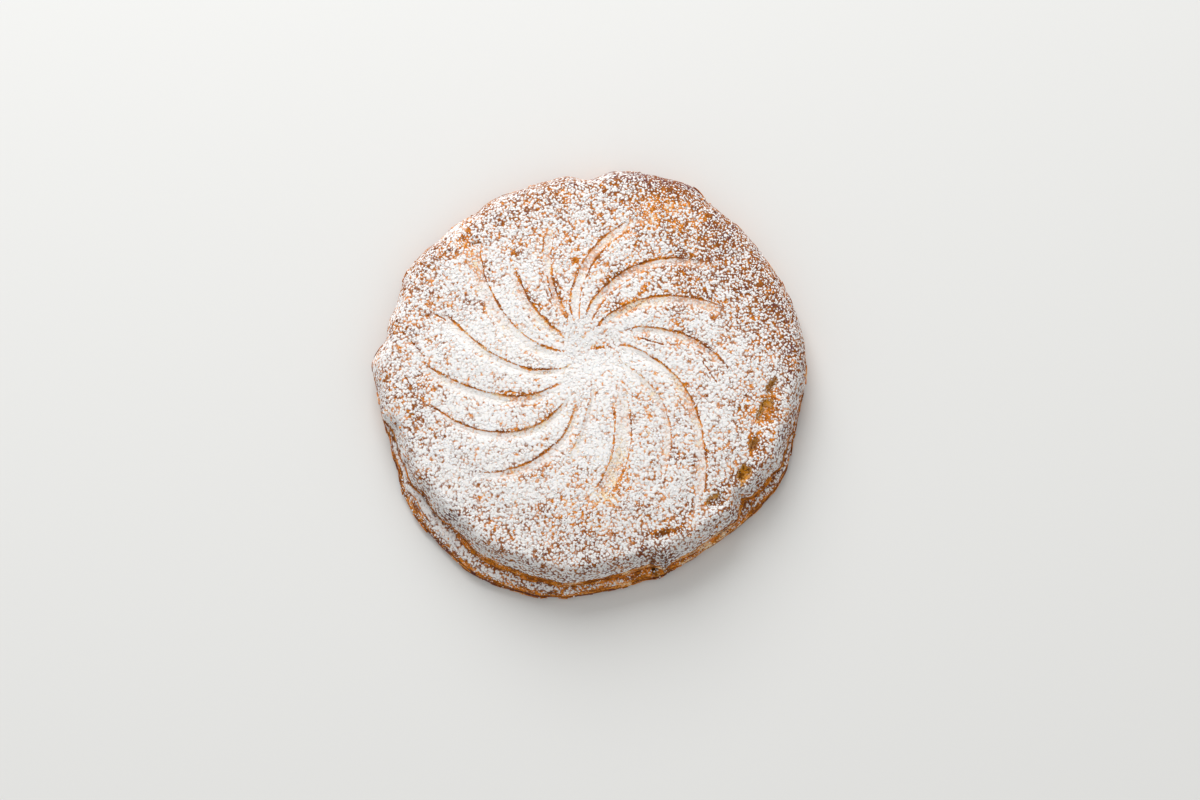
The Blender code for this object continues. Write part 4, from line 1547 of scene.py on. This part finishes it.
class StageLooks(bpy.types.PropertyGroup):
    """The floor, light and camera."""

    distance: FloatProperty(
        name="Camera distance",
        description="From the camera to the floor along its view",
        default=0.95,
        min=0.3,
        unit="LENGTH",
    )
    tilt: FloatProperty(
        name="Camera tilt",
        description="How far the view leans from straight down",
        default=math.radians(6.0),
        min=0.0,
        subtype="ANGLE",
    )
    aim: FloatVectorProperty(
        name="Camera aim",
        description="Point of the floor in the middle of the picture",
        subtype="TRANSLATION",
        size=3,
        default=(0.00612, -0.00891, 0.0),
    )
    floor_colour: FloatVectorProperty(
        name="Floor colour",
        description="Colour of the plain floor",
        subtype="COLOR",
        size=3,
        min=0.0,
        max=1.0,
        default=(0.762, 0.765, 0.755),
    )


def build_floor(looks):
    """A wide plain floor at the cake's base."""
    mesh = bmesh.new()
    bmesh.ops.create_grid(mesh, x_segments=1, y_segments=1, size=FLOOR_HALF)
    data = mesh_data("floor", mesh)
    material, _, shader, _ = shader_material("plain_floor")
    shader.inputs["Base Color"].default_value = (*looks.floor_colour, 1.0)
    shader.inputs["Roughness"].default_value = FLOOR_ROUGHNESS
    data.materials.append(material)
    floor = placed("floor", data)


def build_light():
    """Soft light from the top of the picture and a pale surround."""
    world = bpy.data.worlds.new("surround")
    bpy.context.scene.world = world
    world.use_nodes = True
    backdrop = world.node_tree.nodes["Background"]
    backdrop.inputs["Color"].default_value = SURROUND_COLOUR
    backdrop.inputs["Strength"].default_value = SURROUND_STRENGTH
    lamp = bpy.data.lights.new("window_light", "AREA")
    lamp.shape = "SQUARE"
    lamp.size = LAMP_SIZE
    lamp.energy = LAMP_POWER
    holder = placed("window_light", lamp)
    holder.location = LAMP_PLACE
    towards = Vector(LAMP_AIM) - Vector(LAMP_PLACE)
    holder.rotation_euler = towards.to_track_quat("-Z", "Y").to_euler()
    bpy.context.scene.view_settings.view_transform = "Standard"


def build_camera(looks):
    """The camera, a little off straight down."""
    camera = bpy.data.cameras.new("camera")
    camera.lens = LENS
    camera.sensor_width = SENSOR_WIDTH
    holder = placed("camera", camera)
    away = Vector((0.0, -math.sin(looks.tilt), math.cos(looks.tilt)))
    holder.location = Vector(looks.aim) + looks.distance * away
    holder.rotation_euler = (looks.tilt, 0.0, 0.0)
    bpy.context.scene.camera = holder


class GALETTE_OT_crust(bpy.types.Operator):
    """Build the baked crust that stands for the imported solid"""

    bl_idname = "galette.crust"
    bl_label = "Crust"

    def execute(self, context):
        build_crust(context.scene.galette_looks, *shared_groups())
        return {"FINISHED"}


class GALETTE_OT_flakes(bpy.types.Operator):
    """Add thin flakes along the rim and crumbs on the ledge"""

    bl_idname = "galette.flakes"
    bl_label = "Flakes and crumbs"

    def execute(self, context):
        looks = context.scene.galette_looks
        material = flake_material(looks, *shared_groups())
        build_flakes(looks, material)
        build_crumbs(looks, material)
        return {"FINISHED"}


class GALETTE_OT_sugar(bpy.types.Operator):
    """Add loose clumps and grains of icing sugar"""

    bl_idname = "galette.sugar"
    bl_label = "Icing sugar"

    def execute(self, context):
        build_sugar(context.scene.galette_looks)
        return {"FINISHED"}


class GALETTE_OT_stage(bpy.types.Operator):
    """Set up the floor, the light and the camera"""

    bl_idname = "galette.stage"
    bl_label = "Stage"

    def execute(self, context):
        looks = context.scene.galette_stage
        build_floor(looks)
        build_light()
        build_camera(looks)
        return {"FINISHED"}


class GALETTE_PT_build(bpy.types.Panel):
    """Lists the steps that build the cake"""

    bl_label = "Galette"
    bl_idname = "GALETTE_PT_build"
    bl_space_type = "VIEW_3D"
    bl_region_type = "UI"
    bl_category = "Galette"

    def draw(self, context):
        layout = self.layout
        for settings in (context.scene.galette_looks, context.scene.galette_stage):
            for name in settings.bl_rna.properties.keys():
                if name not in ("rna_type", "name"):
                    layout.prop(settings, name)
        for step in STEPS:
            layout.operator(step.bl_idname)


STEPS = (GALETTE_OT_crust, GALETTE_OT_flakes, GALETTE_OT_sugar, GALETTE_OT_stage)
SETTINGS = (PastryLooks, StageLooks)


def register():
    """Make the settings, the operators and the panel known."""
    for kind in SETTINGS + STEPS + (GALETTE_PT_build,):
        bpy.utils.register_class(kind)
    bpy.types.Scene.galette_looks = PointerProperty(type=PastryLooks)
    bpy.types.Scene.galette_stage = PointerProperty(type=StageLooks)


def unregister():
    """Take them away again."""
    del bpy.types.Scene.galette_stage
    del bpy.types.Scene.galette_looks
    for kind in reversed(SETTINGS + STEPS + (GALETTE_PT_build,)):
        bpy.utils.unregister_class(kind)


def main():
    """Build every piece in order."""
    register()
    bpy.ops.galette.crust()
    bpy.ops.galette.flakes()
    bpy.ops.galette.sugar()
    bpy.ops.galette.stage()


if __name__ == "__main__":
    main()
